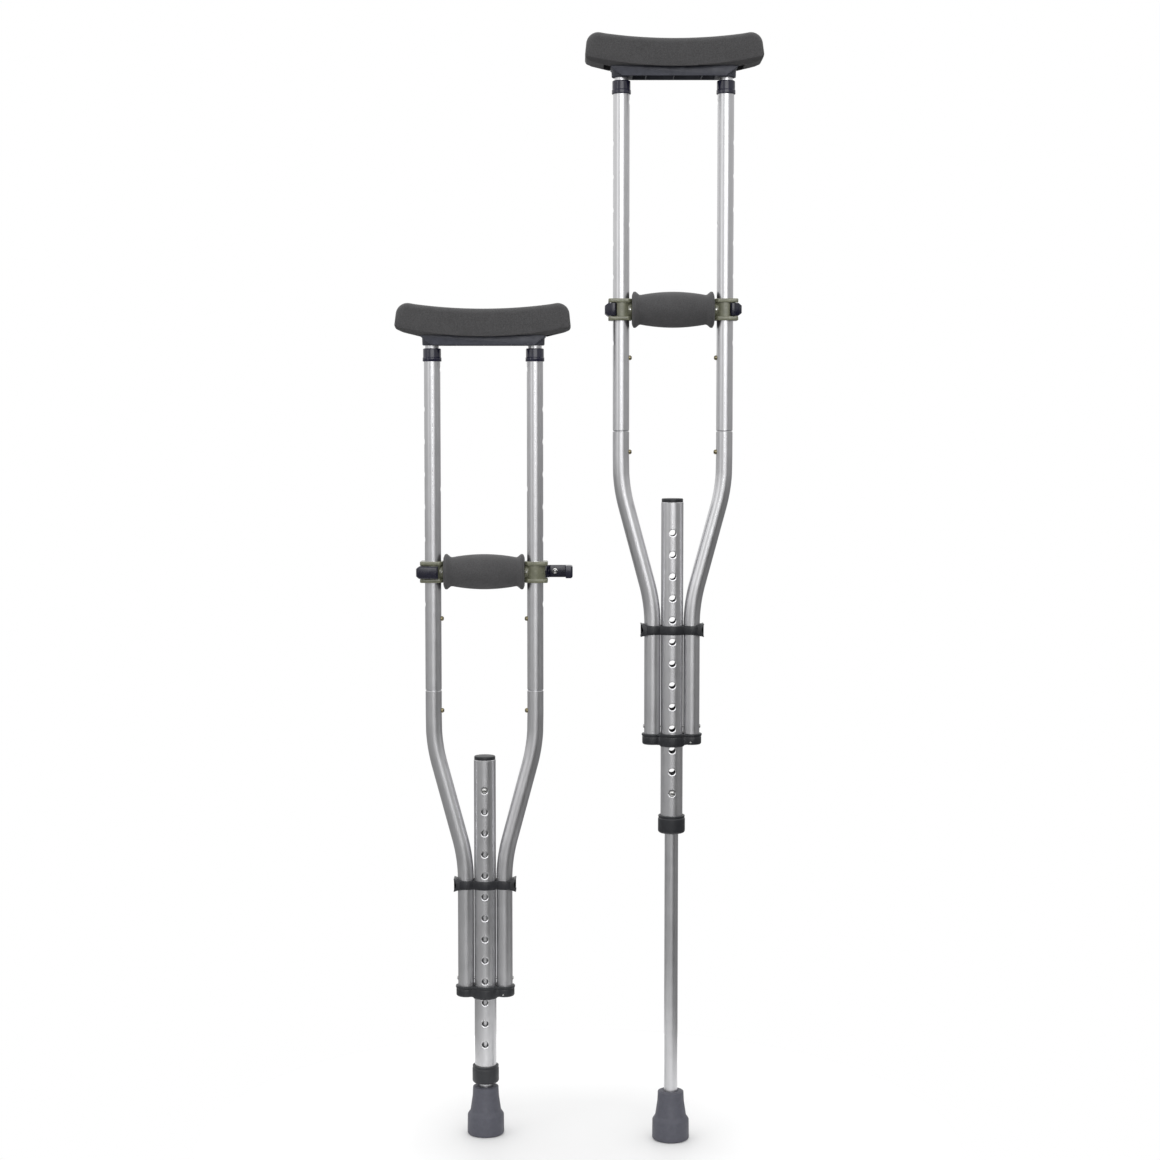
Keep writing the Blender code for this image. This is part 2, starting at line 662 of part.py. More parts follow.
# ---------------------------------------------------------------- assembly
def place(coll, name, mesh, material, at, turn=0.0):
    """One named object: its mesh is about the object's own origin."""
    obj = bpy.data.objects.new(name, mesh)
    coll.objects.link(obj)
    obj.location = at
    obj.rotation_euler = (0.0, 0.0, turn)
    if not mesh.materials:
        mesh.materials.append(material)
        mesh.shade_smooth()
        mesh.set_sharp_from_angle(angle=math.radians(32))
    return obj


def lowered(mesh, drop):
    """The mesh with its origin moved up to the height where its joint is."""
    mesh.transform(Matrix.Translation((0, 0, -drop)))
    return mesh


def centred(mesh, x, y, z):
    mesh.transform(Matrix.Translation((-x, -y, -z)))
    return mesh


def build_meshes():
    """Every distinct piece once. Both crutches share these meshes."""
    button_r = SNAP_HOLE_R - GAP
    meshes = {
        "center_tube": centre_tube_mesh(),
        "center_plug": plug_mesh(),
        "clamp_band": clamp_band_mesh(),
        "end_bracket": end_bracket_mesh(),
        "bow_tube": bow_tube_mesh(),
        "upper_tube": upper_tube_mesh(),
        "collar": collar_mesh(),
        "leg_collar": leg_collar_mesh(),
        "bow_button": button_mesh(button_r, SNAP_FOOT, TUBE_R + SNAP_RISE),
        "post_button": button_mesh(button_r, SNAP_FOOT, TUBE_R + SNAP_RISE),
        "leg_button": button_mesh(LEG_HOLE_R - 2 * GAP, LEG_BUTTON_FOOT, CENTRE_R + LEG_BUTTON_RISE),
        "underarm_pad": pad_mesh(),
        "underarm_bracket": underarm_bracket_mesh(),
        "post": post_mesh(),
        "grip_foam": grip_foam_mesh(),
        "grip_core": grip_core_mesh(),
        "lever_pin": pin_mesh(),
        "leg_tube": leg_tube_mesh(),
        "foot_tip": tip_mesh(),
    }
    for hand in (1, -1):
        meshes["saddle", hand] = lowered(saddle_mesh(hand), GRIP_Z)
        meshes["lever", hand] = centred(lever_mesh(hand), HINGE_OUT, hand * HINGE_BACK, GRIP_Z)
    return meshes


def build_crutch(coll, meshes, looks, prefix, at, leg_out, grip_turn, open_side):
    def put(name, mesh, look, offset=(0.0, 0.0, 0.0), turn=0.0):
        place(coll, prefix + name, meshes[mesh], looks[look], at + Vector(offset), turn)

    put("center_tube", "center_tube", "aluminium")
    put("center_plug", "center_plug", "black_plastic")
    put("clamp_band", "clamp_band", "black_plastic")
    put("end_bracket", "end_bracket", "black_plastic")
    put("leg_collar", "leg_collar", "black_plastic")
    put("underarm_pad", "underarm_pad", "foam")
    put("underarm_bracket", "underarm_bracket", "grey_plastic")
    put("leg_tube", "leg_tube", "aluminium", (0, 0, -leg_out))
    put("foot_tip", "foot_tip", "tip_rubber", (0, 0, -leg_out))
    put("leg_button", "leg_button", "steel", (0, 0, -leg_out), -math.pi / 2)
    put("grip_foam", "grip_foam", "foam", (0, 0, GRIP_Z))
    put("grip_core", "grip_core", "aluminium", (0, 0, GRIP_Z))
    for side, sign, turn in (("left", -1, math.pi), ("right", 1, 0.0)):
        x = sign * TUBE_X
        inward = turn + math.pi
        put("bow_tube_" + side, "bow_tube", "aluminium", (0, 0, 0), turn)
        put("upper_tube_" + side, "upper_tube", "aluminium", (x, 0, 0), turn)
        put("collar_" + side, "collar", "navy_plastic", (x, 0, 0), turn)
        put("post_" + side, "post", "aluminium", (x, 0, 0), turn)
        put("post_button_" + side, "post_button", "brass", (x, 0, POST_BUTTON_Z), inward)
        put("bow_button_" + side, "bow_button", "brass", (x, 0, BOW_BUTTON_Z), inward)
        # the hinge stands behind the tubes, or in front of them when the grip is turned round
        hand = sign if grip_turn == 0.0 else -sign
        hinge_y = HINGE_BACK if grip_turn == 0.0 else -HINGE_BACK
        hinge = (x + sign * HINGE_OUT, hinge_y, GRIP_Z)
        swing = 0.0
        if side == open_side:
            swing = OPEN_ANGLE * (1 if sign * hinge_y > 0 else -1)
        put("saddle_" + side, ("saddle", hand), "olive_plastic", (x, 0, GRIP_Z), turn)
        put("lever_" + side, ("lever", hand), "lever_plastic", hinge, turn + swing)
        put("lever_pin_" + side, "lever_pin", "steel", hinge, turn)


def main():
    clear_scene()
    coll = new_collection("underarm_crutches")
    looks = {
        "aluminium": principled("aluminium", (0.62, 0.62, 0.63), 0.30, 1.0),
        "steel": principled("steel", (0.66, 0.65, 0.62), 0.22, 1.0),
        "brass": principled("brass", (0.62, 0.50, 0.30), 0.28, 1.0),
        "foam": principled("foam", (0.085, 0.085, 0.088), 0.85),
        "grey_plastic": principled("grey_plastic", (0.060, 0.064, 0.080), 0.50),
        "navy_plastic": principled("navy_plastic", (0.035, 0.035, 0.055), 0.28),
        "black_plastic": principled("black_plastic", (0.035, 0.038, 0.042), 0.48),
        "lever_plastic": principled("lever_plastic", (0.018, 0.018, 0.028), 0.35),
        "olive_plastic": principled("olive_plastic", (0.190, 0.195, 0.125), 0.45),
        "tip_rubber": principled("tip_rubber", (0.080, 0.084, 0.106), 0.70),
    }
    meshes = build_meshes()
    build_crutch(coll, meshes, looks, "tall_", TALL_AT, LEG_TRAVEL, math.pi, None)
    build_crutch(coll, meshes, looks, "short_", SHORT_AT, 0.0, 0.0, "right")


main()
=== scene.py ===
"""Looks for a pair of adjustable underarm crutches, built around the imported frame.

Everything is in metres. Inside one crutch, X = 0 is its centre tube and heights count from that tube's
top hole, so each shape is made once and serves both crutches.
"""

import math
from types import SimpleNamespace

import bmesh
import bpy
from mathutils import Matrix, Vector


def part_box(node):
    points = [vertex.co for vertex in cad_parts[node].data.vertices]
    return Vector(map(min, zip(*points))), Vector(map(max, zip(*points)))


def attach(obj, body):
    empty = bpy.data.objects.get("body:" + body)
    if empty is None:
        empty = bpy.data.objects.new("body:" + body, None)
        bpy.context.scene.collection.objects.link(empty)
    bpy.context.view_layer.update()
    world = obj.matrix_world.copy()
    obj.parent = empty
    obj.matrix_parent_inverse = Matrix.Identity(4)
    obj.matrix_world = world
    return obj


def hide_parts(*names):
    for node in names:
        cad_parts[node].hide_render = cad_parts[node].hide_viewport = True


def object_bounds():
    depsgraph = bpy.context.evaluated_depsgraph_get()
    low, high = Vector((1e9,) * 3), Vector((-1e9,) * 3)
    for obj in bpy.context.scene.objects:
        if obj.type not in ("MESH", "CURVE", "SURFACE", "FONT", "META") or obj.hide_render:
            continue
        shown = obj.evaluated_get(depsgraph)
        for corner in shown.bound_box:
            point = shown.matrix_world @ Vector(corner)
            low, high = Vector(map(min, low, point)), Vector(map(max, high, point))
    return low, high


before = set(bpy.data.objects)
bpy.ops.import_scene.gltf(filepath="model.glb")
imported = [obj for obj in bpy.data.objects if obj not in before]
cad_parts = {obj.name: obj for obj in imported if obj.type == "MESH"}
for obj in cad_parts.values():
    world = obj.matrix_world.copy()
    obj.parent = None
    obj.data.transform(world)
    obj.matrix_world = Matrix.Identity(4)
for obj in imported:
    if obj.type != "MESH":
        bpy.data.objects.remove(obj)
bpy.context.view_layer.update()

# ---- sizes
TUBE_R = 0.009525
TUBE_BORE_R = 0.00825
POST_R = 0.00794
POST_BORE_R = 0.0067
CENTRE_R = 0.0129
CENTRE_BORE_R = 0.0115
TUBE_X = 0.060
BOW_X = 0.02285
BEND_TOP_Z = 0.0547
BEND_LOW_Z = -0.0835
BEND_R = 0.190
LEG_PITCH = 0.0254
LEG_HOLES = 13
LEG_HOLE_R = 0.0039
CENTRE_TOP_Z = 0.0354
CENTRE_LOW_Z = -0.347
PLUG_TOP_Z = 0.0397
GRIP_Z = 0.2577
GRIP_PITCH = 0.0381
STUD_STEPS = range(-1, 6)  # the handgrip's holes, in pitches from its place at rest
STUD_HOLE_R = 0.0033
SEAM_Z = 0.1176
NECK_LOW_Z = 0.079
BOW_BUTTON_Z = 0.0937
POST_BUTTON_Z = 0.2025
POST_SIZES = (0.0, 0.1524, 0.2921)
SNAP_HOLE_R = 0.0031
COLLAR_LOW_Z = 0.5035
COLLAR_TOP_Z = 0.5186
COLLAR_R = 0.0110
TUBE_TOP_Z = 0.5150
POST_LOW_Z = 0.178
BRACKET_LOW_Z = 0.5222
POST_IN_SOCKET = 0.0085  # how far a post goes into its bracket
BRACKET_DEPTH = 0.036
PAD_LOW_Z = 0.534
PAD_THICK = 0.0303
PAD_LENGTH = 0.204
PAD_DEPTH = 0.050
BAND_Z = -0.1138
BRACE_Z = -0.2417
LEG_COLLAR_TOP_Z = -0.332
LEG_COLLAR_LOW_Z = -0.353
LEG_COLLAR_R = 0.01585
LEG_TOP_Z = 0.020  # the leg's heights count from its button
BUSH_LOW_Z = -0.014
BUSH_CLEAR = 0.0055  # room for the button between the bush's rings
TIP_TOP_Z = -0.3573
SOLE_Z = -0.4152
LEG_LOW_Z = -0.407
SADDLE_HALF = 0.0125
FLANGE = 0.0047
LEVER_HALF = 0.0072
HINGE_OUT = 0.0122
HINGE_BACK = 0.0108
PIN_R = 0.0012
STUD_ROOM_R = 0.0036  # opening in the saddle for the lever's stud
HINGE_ROOM_R = 0.0072  # and for the lever round its hinge
BARREL_R = 0.0121
LEVER_REACH = 0.0210
GRIP_END = 0.0125
SNAP_FOOT = (0.0040, 0.0050)  # a spring button's foot, outward from its tube's axis
SNAP_RISE = 0.0030  # and how far its head stands out
LEG_BUTTON_FOOT = (0.0034, 0.0044)
LEG_BUTTON_RISE = 0.0024
RIVET_R = 0.0025
RIVET_RISE = 0.0148  # its place above the end bracket
SCREW_R = 0.0010
BRACE_SCREW_AT = (0.0215, -0.01225, BRACE_Z - 0.0030)
SADDLE_SCREW_IN = 0.0104  # from the tube's axis towards the grip
SADDLE_SCREW_FRONT = 0.0096
SLIP = 0.0001  # clearance between pieces that fit into each other
EDGE = 0.0004  # chamfer of a tube's ends
RIM = 0.0004  # width of a hole's chamfer
STUD_RIM = 0.0005
POST_RIM = 0.0003
RIM_DEPTH = 0.0003
POST_RIM_DEPTH = 0.0002

SIDES = 72  # sides of a round piece
FINE_SIDES = 96
SMALL_SIDES = 40
TINY_SIDES = 32
HOLE_STEPS = 12  # points along one side of a hole's square cell
CELL_SHARE = 1.45  # half of its side, in hole radii with the rim


# ---- mesh helpers
def added(name, data, at=(0.0, 0.0, 0.0)):
    obj = bpy.data.objects.new(name, data)
    bpy.context.scene.collection.objects.link(obj)
    obj.location = at
    return obj


def mesh_from(name, verts, faces):
    mesh = bpy.data.meshes.new(name)
    mesh.from_pydata([tuple(v) for v in verts], [], faces)
    mesh.update()
    return mesh


def shaded(mesh, angle=35):
    mesh.shade_smooth()
    mesh.set_sharp_from_angle(angle=math.radians(angle))
    return mesh


def moved(mesh, matrix):
    mesh.transform(matrix)
    return mesh


def shifted(mesh, x=0.0, y=0.0, z=0.0):
    return moved(mesh, Matrix.Translation((x, y, z)))


def along_x(mesh):
    """Lays a piece that stands on Z along X, its top towards +X."""
    return moved(mesh, Matrix.Rotation(math.pi / 2, 4, "Y"))


def joined(*meshes):
    bm = bmesh.new()
    for mesh in meshes:
        bm.from_mesh(mesh)
        bpy.data.meshes.remove(mesh)
    result = bpy.data.meshes.new("joined")
    bm.to_mesh(result)
    bm.free()
    return result


def evaluated(obj):
    """The object's mesh with its modifiers applied; the object is removed."""
    bpy.context.view_layer.update()
    graph = bpy.context.evaluated_depsgraph_get()
    mesh = bpy.data.meshes.new_from_object(obj.evaluated_get(graph))
    bpy.data.objects.remove(obj, do_unlink=True)
    return mesh


def combined(mesh, others, operation):
    base = added("work", mesh)
    tools = [added("tool", other) for other in others]
    for tool in tools:
        step = base.modifiers.new("Boolean", "BOOLEAN")
        step.solver = "EXACT"
        step.operation = operation
        step.object = tool
    result = evaluated(base)
    for tool in tools:
        bpy.data.objects.remove(tool, do_unlink=True)
    return result


def cut(mesh, tools):
    return combined(mesh, tools, "DIFFERENCE")


def bevelled(mesh, width, segments=2, angle=35):
    obj = added("work", mesh)
    weld = obj.modifiers.new("Weld", "WELD")
    weld.merge_threshold = 0.00003
    edge = obj.modifiers.new("Bevel", "BEVEL")
    edge.width = width
    edge.segments = segments
    edge.limit_method = "ANGLE"
    edge.angle_limit = math.radians(angle)
    return evaluated(obj)


def filleted(corners, steps=5):
    """A closed outline with rounded corners. Each corner is (x, y, radius)."""
    points = []
    for i, (x, y, radius) in enumerate(corners):
        here = Vector((x, y))
        beside = (corners[i - 1], corners[(i + 1) % len(corners)])
        before, after = (Vector(corner[:2]) - here for corner in beside)
        opening = before.angle(after)
        if radius <= 0.0 or opening > math.radians(176):
            points.append((x, y))
            continue
        room = [side.length * (0.49 if corner[2] else 0.98)
                for side, corner in zip((before, after), beside)]
        reach = min(radius / math.tan(opening / 2), *room)
        radius = reach * math.tan(opening / 2)
        before.normalize()
        after.normalize()
        centre = here + (before + after).normalized() * (radius / math.sin(opening / 2))
        start, end = here + before * reach - centre, here + after * reach - centre
        first = math.atan2(start.y, start.x)
        sweep = (math.atan2(end.y, end.x) - first + math.pi) % math.tau - math.pi
        for k in range(steps + 1):
            a = first + sweep * k / steps
            points.append((centre.x + radius * math.cos(a), centre.y + radius * math.sin(a)))
    return points


def lathe(profile, segments=SIDES):
    """A solid of revolution about Z from a loop of (radius, height) that runs down its outside first."""
    verts = []
    rings = []
    for radius, z in profile:
        if radius < 1e-7:
            rings.append([len(verts)] * segments)
            verts.append((0.0, 0.0, z))
            continue
        rings.append(list(range(len(verts), len(verts) + segments)))
        for i in range(segments):
            a = math.tau * i / segments
            verts.append((radius * math.cos(a), radius * math.sin(a), z))
    faces = []
    for upper, lower in zip(rings, rings[1:] + rings[:1]):
        for i in range(segments):
            j = (i + 1) % segments
            corners = list(dict.fromkeys((upper[i], lower[i], lower[j], upper[j])))
            if len(corners) > 2:
                faces.append(corners)
    return mesh_from("turned", verts, faces)


def turned(profile, steps, angle=50, segments=SIDES):
    """A shaded solid of revolution from a loop of (radius, height, fillet)."""
    return shaded(lathe(filleted(profile, steps), segments), angle)


def value(setting, x, y):
    return setting(x, y) if callable(setting) else setting


def prism(outline, low, high, edge=0.0, steps=3, across=1):
    """An anticlockwise outline raised along Z, with rounded rims. low, high and edge may be functions."""
    count = len(outline)
    inward = []
    for i in range(count):
        here = Vector(outline[i])
        a = (here - Vector(outline[i - 1])).normalized()
        b = (Vector(outline[(i + 1) % count]) - here).normalized()
        na = Vector((-a.y, a.x))
        nb = Vector((-b.y, b.x))
        inward.append((na + nb) / max(1.0 + na.dot(nb), 0.5))
    stages = range(steps + 1) if edge else (steps,)
    rows = []
    for side in (-1, 1):
        for k in (stages if side < 0 else reversed(stages)):
            turn = math.pi / 2 * k / steps
            row = []
            for (x, y), normal in zip(outline, inward):
                radius = value(edge, x, y)
                inset = radius * (1 - math.sin(turn))
                rise = radius * (1 - math.cos(turn))
                z = value(low, x, y) + rise if side < 0 else value(high, x, y) - rise
                row.append((x + normal.x * inset, y + normal.y * inset, z))
            rows.append(row)
    middle = len(rows) // 2
    first, last = rows[middle - 1], rows[middle]
    rows[middle:middle] = [[Vector(a).lerp(Vector(b), k / across) for a, b in zip(first, last)]
                           for k in range(1, across)]
    verts = [point for row in rows for point in row]
    faces = [list(range(count))[::-1], [(len(rows) - 1) * count + i for i in range(count)]]
    for k in range(len(rows) - 1):
        for i in range(count):
            j = (i + 1) % count
            faces.append([k * count + i, k * count + j, (k + 1) * count + j, (k + 1) * count + i])
    return mesh_from("prism", verts, faces)


def upright(mesh):
    """Stands a prism drawn in X and Z on its edge: its outline's Y becomes height."""
    return moved(mesh, Matrix.Rotation(math.pi / 2, 4, "X"))


def bar(radius, low, high, at=(0.0, 0.0, 0.0), segments=SIDES):
    """A plain cylinder on Z, used as a cutter."""
    return shifted(lathe([(0.0, high), (radius, high), (radius, low), (0.0, low)], segments), *at)


def block(low, high):
    outline = [(low[0], low[1]), (high[0], low[1]), (high[0], high[1]), (low[0], high[1])]
    return prism(outline, low[2], high[2])


# ---- drilled tubes
def radius_at(profile, z):
    """Radius of a tube's skin at a height, from its (height, radius) stations."""
    for (z0, r0), (z1, r1) in zip(profile, profile[1:]):
        if z0 <= z <= z1:
            return r0 if z1 == z0 else r0 + (r1 - r0) * (z - z0) / (z1 - z0)
    return profile[0][1] if z < profile[0][0] else profile[-1][1]


def spread(low, high, steps):
    return [low + (high - low) * k / steps for k in range(steps + 1)]


def nearest(stations, wanted):
    return min(range(len(stations)), key=lambda n: abs(stations[n] - wanted))


class Drilled:
    """A tube standing on Z. Its wall has round holes with chamfered rims, each in a square cell.

    outer and inner are (height, radius) stations from the bottom up, and inner may be one radius.
    columns holds (angle, rim width, [(height, hole radius), ...]).
    """

    def __init__(self, outer, inner, columns, rim_depth):
        self.outer = outer
        self.inner = inner if isinstance(inner, list) else [(outer[0][0], inner), (outer[-1][0], inner)]
        self.skin_r = max(r for _, r in outer)
        self.rim_depth = rim_depth
        self.verts, self.faces, self.inside, self.holes = [], [], [], []
        for angle, rim, drills in columns:
            half = CELL_SHARE * (max(r for _, r in drills) + rim)
            for z, radius in drills:
                self.holes.append(SimpleNamespace(angle=angle, z=z, radius=radius, rim=rim, half=half,
                                                  left=angle - half / self.skin_r))
        self.angles = self.angle_stations()
        self.heights = self.height_stations()

    def angle_stations(self):
        spans = sorted({(hole.left, 2 * hole.angle - hole.left) for hole in self.holes})
        spans.append((spans[0][0] + math.tau, None))
        stations = []
        for (low, high), (following, _) in zip(spans, spans[1:]):
            steps = max(2, round((following - high) / math.tau * SIDES))
            stations += spread(low, high, HOLE_STEPS) + spread(high, following, steps)[1:-1]
        return stations

    def height_stations(self):
        stations = [z for z, _ in self.outer + self.inner]
        for hole in self.holes:
            stations += spread(hole.z - hole.half, hole.z + hole.half, HOLE_STEPS)
        return sorted({round(z, 7) for z in stations})

    def point(self, angle, radius, z):
        self.verts.append((radius * math.cos(angle), radius * math.sin(angle), z))
        return len(self.verts) - 1

    def quad(self, is_lining, *corners):
        self.faces.append(corners)
        self.inside.append(is_lining)

    def cell(self, hole):
        """The steps of angle and of height that a hole's cell covers."""
        left = nearest(self.angles, hole.left)
        low = nearest(self.heights, hole.z - hole.half)
        return range(left, left + HOLE_STEPS), range(low, nearest(self.heights, hole.z + hole.half))

    def build(self):
        skin, bore = [[[self.point(a, radius_at(wall, z), z) for z in self.heights] for a in self.angles]
                      for wall in (self.outer, self.inner)]
        covered = {(i, k) for across, up in map(self.cell, self.holes) for i in across for k in up}
        for i in range(len(self.angles)):
            j = (i + 1) % len(self.angles)
            for k in range(len(self.heights) - 1):
                if (i, k) not in covered:
                    self.quad(0, skin[i][k], skin[j][k], skin[j][k + 1], skin[i][k + 1])
                    self.quad(1, bore[i][k + 1], bore[j][k + 1], bore[j][k], bore[i][k])
            self.quad(0, skin[i][-1], skin[j][-1], bore[j][-1], bore[i][-1])
            self.quad(0, bore[i][0], bore[j][0], skin[j][0], skin[i][0])
        for hole in self.holes:
            self.drill(hole, skin, bore)
        mesh = mesh_from("tube", self.verts, self.faces)
        # Lining faces take the second material, the dark bore look: painted shade inside the tube.
        mesh.polygons.foreach_set("material_index", self.inside)
        return mesh

    def drill(self, hole, skin, bore):
        across, up = self.cell(hole)
        left, right, low, high = across.start, across.stop, up.start, up.stop
        border = [(i, low) for i in across] + [(right, k) for k in up]
        border += [(i, high) for i in range(right, left, -1)] + [(left, k) for k in range(high, low, -1)]
        skin_r = radius_at(self.outer, hole.z)
        bore_r = radius_at(self.inner, hole.z)
        wide = hole.radius + hole.rim
        rings = [(skin_r, wide, share) for share in (0.35, 0.7, 1.0)]
        for share in (0.5, 1.0):
            rings.append((skin_r - self.rim_depth * share ** 1.5, wide - hole.rim * share, 1.0))
        lining_from = len(rings) + 1
        rings += [(bore_r, hole.radius, share) for share in (1.0, 0.5)]
        loops = [[skin[i][k] for i, k in border], *(self.ring(hole, border, *ring) for ring in rings),
                 [bore[i][k] for i, k in border]]
        for number, (first, second) in enumerate(zip(loops, loops[1:])):
            for n in range(len(border)):
                m = (n + 1) % len(border)
                self.quad(int(number >= lining_from), first[n], first[m], second[m], second[n])

    def ring(self, hole, border, wall_r, ring_r, share):
        """Points between the cell's border (share 0) and the hole's circle (share 1)."""
        points = []
        for i, k in border:
            sideways = self.angles[i] - hole.angle
            upward = self.heights[k] - hole.z
            turn = math.atan2(upward, sideways * self.skin_r)
            circle_angle = math.asin(min(1.0, ring_r * math.cos(turn) / wall_r))
            angle = hole.angle + sideways * (1 - share) + circle_angle * share
            z = hole.z + upward * (1 - share) + ring_r * math.sin(turn) * share
            points.append(self.point(angle, wall_r, z))
        return points


def center_tube():
    outer = [(CENTRE_LOW_Z, CENTRE_R - EDGE), (CENTRE_LOW_Z + EDGE, CENTRE_R),
             (CENTRE_TOP_Z - EDGE, CENTRE_R), (CENTRE_TOP_Z, CENTRE_R - EDGE)]
    drills = [(-LEG_PITCH * i, LEG_HOLE_R) for i in range(LEG_HOLES)]
    columns = [(side * math.pi / 2, RIM, drills) for side in (-1, 1)]
    return shaded(Drilled(outer, CENTRE_BORE_R, columns, RIM_DEPTH).build())


def upper_tube():
    """About its own axis; +X is the outer side, which has the handgrip's holes."""
    neck_r = TUBE_BORE_R - 0.0002
    neck_bore = neck_r - (TUBE_R - TUBE_BORE_R)
    shoulder = SEAM_Z + 0.0003
    ramp_top = shoulder + 0.0010
    bore_widens = shoulder + 0.004
    outer = [(NECK_LOW_Z, neck_r), (shoulder - 0.0001, neck_r), (shoulder, TUBE_R - 0.0009),
             (ramp_top, TUBE_R), (TUBE_TOP_Z - EDGE, TUBE_R), (TUBE_TOP_Z, TUBE_R - EDGE)]
    inner = [(NECK_LOW_Z, neck_bore), (shoulder, neck_bore), (bore_widens, TUBE_BORE_R),
             (TUBE_TOP_Z, TUBE_BORE_R)]
    studs = [(GRIP_Z + GRIP_PITCH * step, STUD_HOLE_R) for step in STUD_STEPS]
    snaps = [(z, SNAP_HOLE_R) for z in (BOW_BUTTON_Z, *(POST_BUTTON_Z + rise for rise in POST_SIZES))]
    columns = [(0.0, STUD_RIM, studs), (math.pi, RIM, snaps)]
    return shaded(Drilled(outer, inner, columns, RIM_DEPTH).build())


# a bow tube's centre line from its top: straight, bend, slant, bend back, straight
BOW_LEAN = math.atan2(TUBE_X - BOW_X, BEND_TOP_Z - BEND_LOW_Z)
BOW_TANGENT = BEND_R * math.tan(BOW_LEAN / 2)
BOW_ARC = BEND_R * BOW_LEAN
BOW_SLANT = math.hypot(TUBE_X - BOW_X, BEND_TOP_Z - BEND_LOW_Z) - 2 * BOW_TANGENT
LOW_BEND_Z = BEND_LOW_Z - BOW_TANGENT
FIRST_END = SEAM_Z - BEND_TOP_Z - BOW_TANGENT
SLANT_START = FIRST_END + BOW_ARC
SLANT_END = SLANT_START + BOW_SLANT
LAST_START = SLANT_END + BOW_ARC
BOW_LENGTH = LAST_START + LOW_BEND_Z - BRACE_Z


def bow_centre(down):
    """Where a bow tube's centre line is after a length from its top, and how far it leans there."""
    if down <= FIRST_END:
        return TUBE_X, SEAM_Z - down, 0.0
    if down <= SLANT_START:
        a = (down - FIRST_END) / BEND_R
        return TUBE_X - BEND_R * (1 - math.cos(a)), SEAM_Z - FIRST_END - BEND_R * math.sin(a), a
    if down >= LAST_START:
        return BOW_X, LOW_BEND_Z - (down - LAST_START), 0.0
    left = max(0.0, SLANT_END - down)
    a = min(BOW_LEAN, (LAST_START - down) / BEND_R)
    return (BOW_X + BEND_R * (1 - math.cos(a)) + left * math.sin(a),
            LOW_BEND_Z + BEND_R * math.sin(a) + left * math.cos(a), a)


def bow_tube():
    """In the crutch's own place on the +X side: a straight drilled tube, then bent."""
    low = SEAM_Z - BOW_LENGTH
    edge = 0.0006
    straight = 0.045  # at the top, round the button's hole
    steps = 70
    bends = [(low + edge + (SEAM_Z - straight - low) * k / steps, TUBE_R) for k in range(steps)]
    outer = [(low, TUBE_R - edge)] + bends + [(SEAM_Z - edge, TUBE_R), (SEAM_Z, TUBE_R - edge)]
    columns = [(math.pi, RIM, [(BOW_BUTTON_Z, SNAP_HOLE_R)])]
    mesh = Drilled(outer, TUBE_BORE_R, columns, RIM_DEPTH).build()
    for vert in mesh.vertices:
        x, z, lean = bow_centre(SEAM_Z - vert.co.z)
        out = vert.co.x
        vert.co.x = x + out * math.cos(lean)
        vert.co.z = z - out * math.sin(lean)
    return shaded(mesh)


def post():
    top = BRACKET_LOW_Z + POST_IN_SOCKET
    outer = [(POST_LOW_Z, POST_R - EDGE), (POST_LOW_Z + EDGE, POST_R), (top, POST_R)]
    columns = [(math.pi, POST_RIM, [(POST_BUTTON_Z, SNAP_HOLE_R)])]
    return shaded(Drilled(outer, POST_BORE_R, columns, POST_RIM_DEPTH).build())


def leg_tube():
    outer = [(LEG_LOW_Z, POST_R), (LEG_TOP_Z - EDGE, POST_R), (LEG_TOP_Z, POST_R - EDGE)]
    columns = [(-math.pi / 2, POST_RIM, [(0.0, LEG_HOLE_R - 0.0002)])]
    return shaded(Drilled(outer, POST_BORE_R, columns, POST_RIM_DEPTH).build())


# ---- turned pieces
def leg_bush():
    """Two guide rings on the top of the leg, above and below its button."""
    outer = CENTRE_BORE_R - 0.0003
    inner = POST_R + SLIP
    rings = []
    for low, high in ((BUSH_LOW_Z, -BUSH_CLEAR), (BUSH_CLEAR, LEG_TOP_Z)):
        profile = [(inner, high, 0), (outer, high, 0.001), (outer, low, 0.001), (inner, low, 0)]
        rings.append(turned(profile, 3, 35))
    return joined(*rings)


def collar():
    """The glossy bush on top of an upper tube: a guide lip above, a slightly wider skirt below."""
    lip = TUBE_TOP_Z + SLIP
    waist = COLLAR_R - 0.0005
    profile = [(POST_R + SLIP, COLLAR_TOP_Z, 0.0003), (waist, COLLAR_TOP_Z, 0.0022),
               (waist, COLLAR_LOW_Z + 0.0050, 0.0006), (COLLAR_R, COLLAR_LOW_Z + 0.0042, 0.0006),
               (COLLAR_R, COLLAR_LOW_Z, 0.0006), (TUBE_R + SLIP, COLLAR_LOW_Z, 0.0002),
               (TUBE_R + SLIP, lip, 0), (POST_R + SLIP, lip, 0)]
    return turned(profile, 5)


def leg_collar():
    """The cap on the centre tube's lower end: thin rim above, rounded edge below."""
    lip = CENTRE_LOW_Z - SLIP
    rim = LEG_COLLAR_TOP_Z - 0.0018
    waist = LEG_COLLAR_R - 0.0008
    rim_r = LEG_COLLAR_R - 0.0003
    profile = [(CENTRE_R + 0.0006, LEG_COLLAR_TOP_Z, 0.0003), (rim_r, LEG_COLLAR_TOP_Z, 0.0006),
               (rim_r, rim, 0.0003), (waist, rim - 0.0004, 0.0002), (waist, rim - 0.0010, 0.0003),
               (LEG_COLLAR_R, rim - 0.0022, 0.0010),
               (LEG_COLLAR_R, LEG_COLLAR_LOW_Z, 0.0032), (POST_R + SLIP, LEG_COLLAR_LOW_Z, 0.0003),
               (POST_R + SLIP, lip, 0), (CENTRE_R + SLIP, lip, 0),
               (CENTRE_R + SLIP, LEG_COLLAR_TOP_Z - 0.0008, 0)]
    return turned(profile, 6)


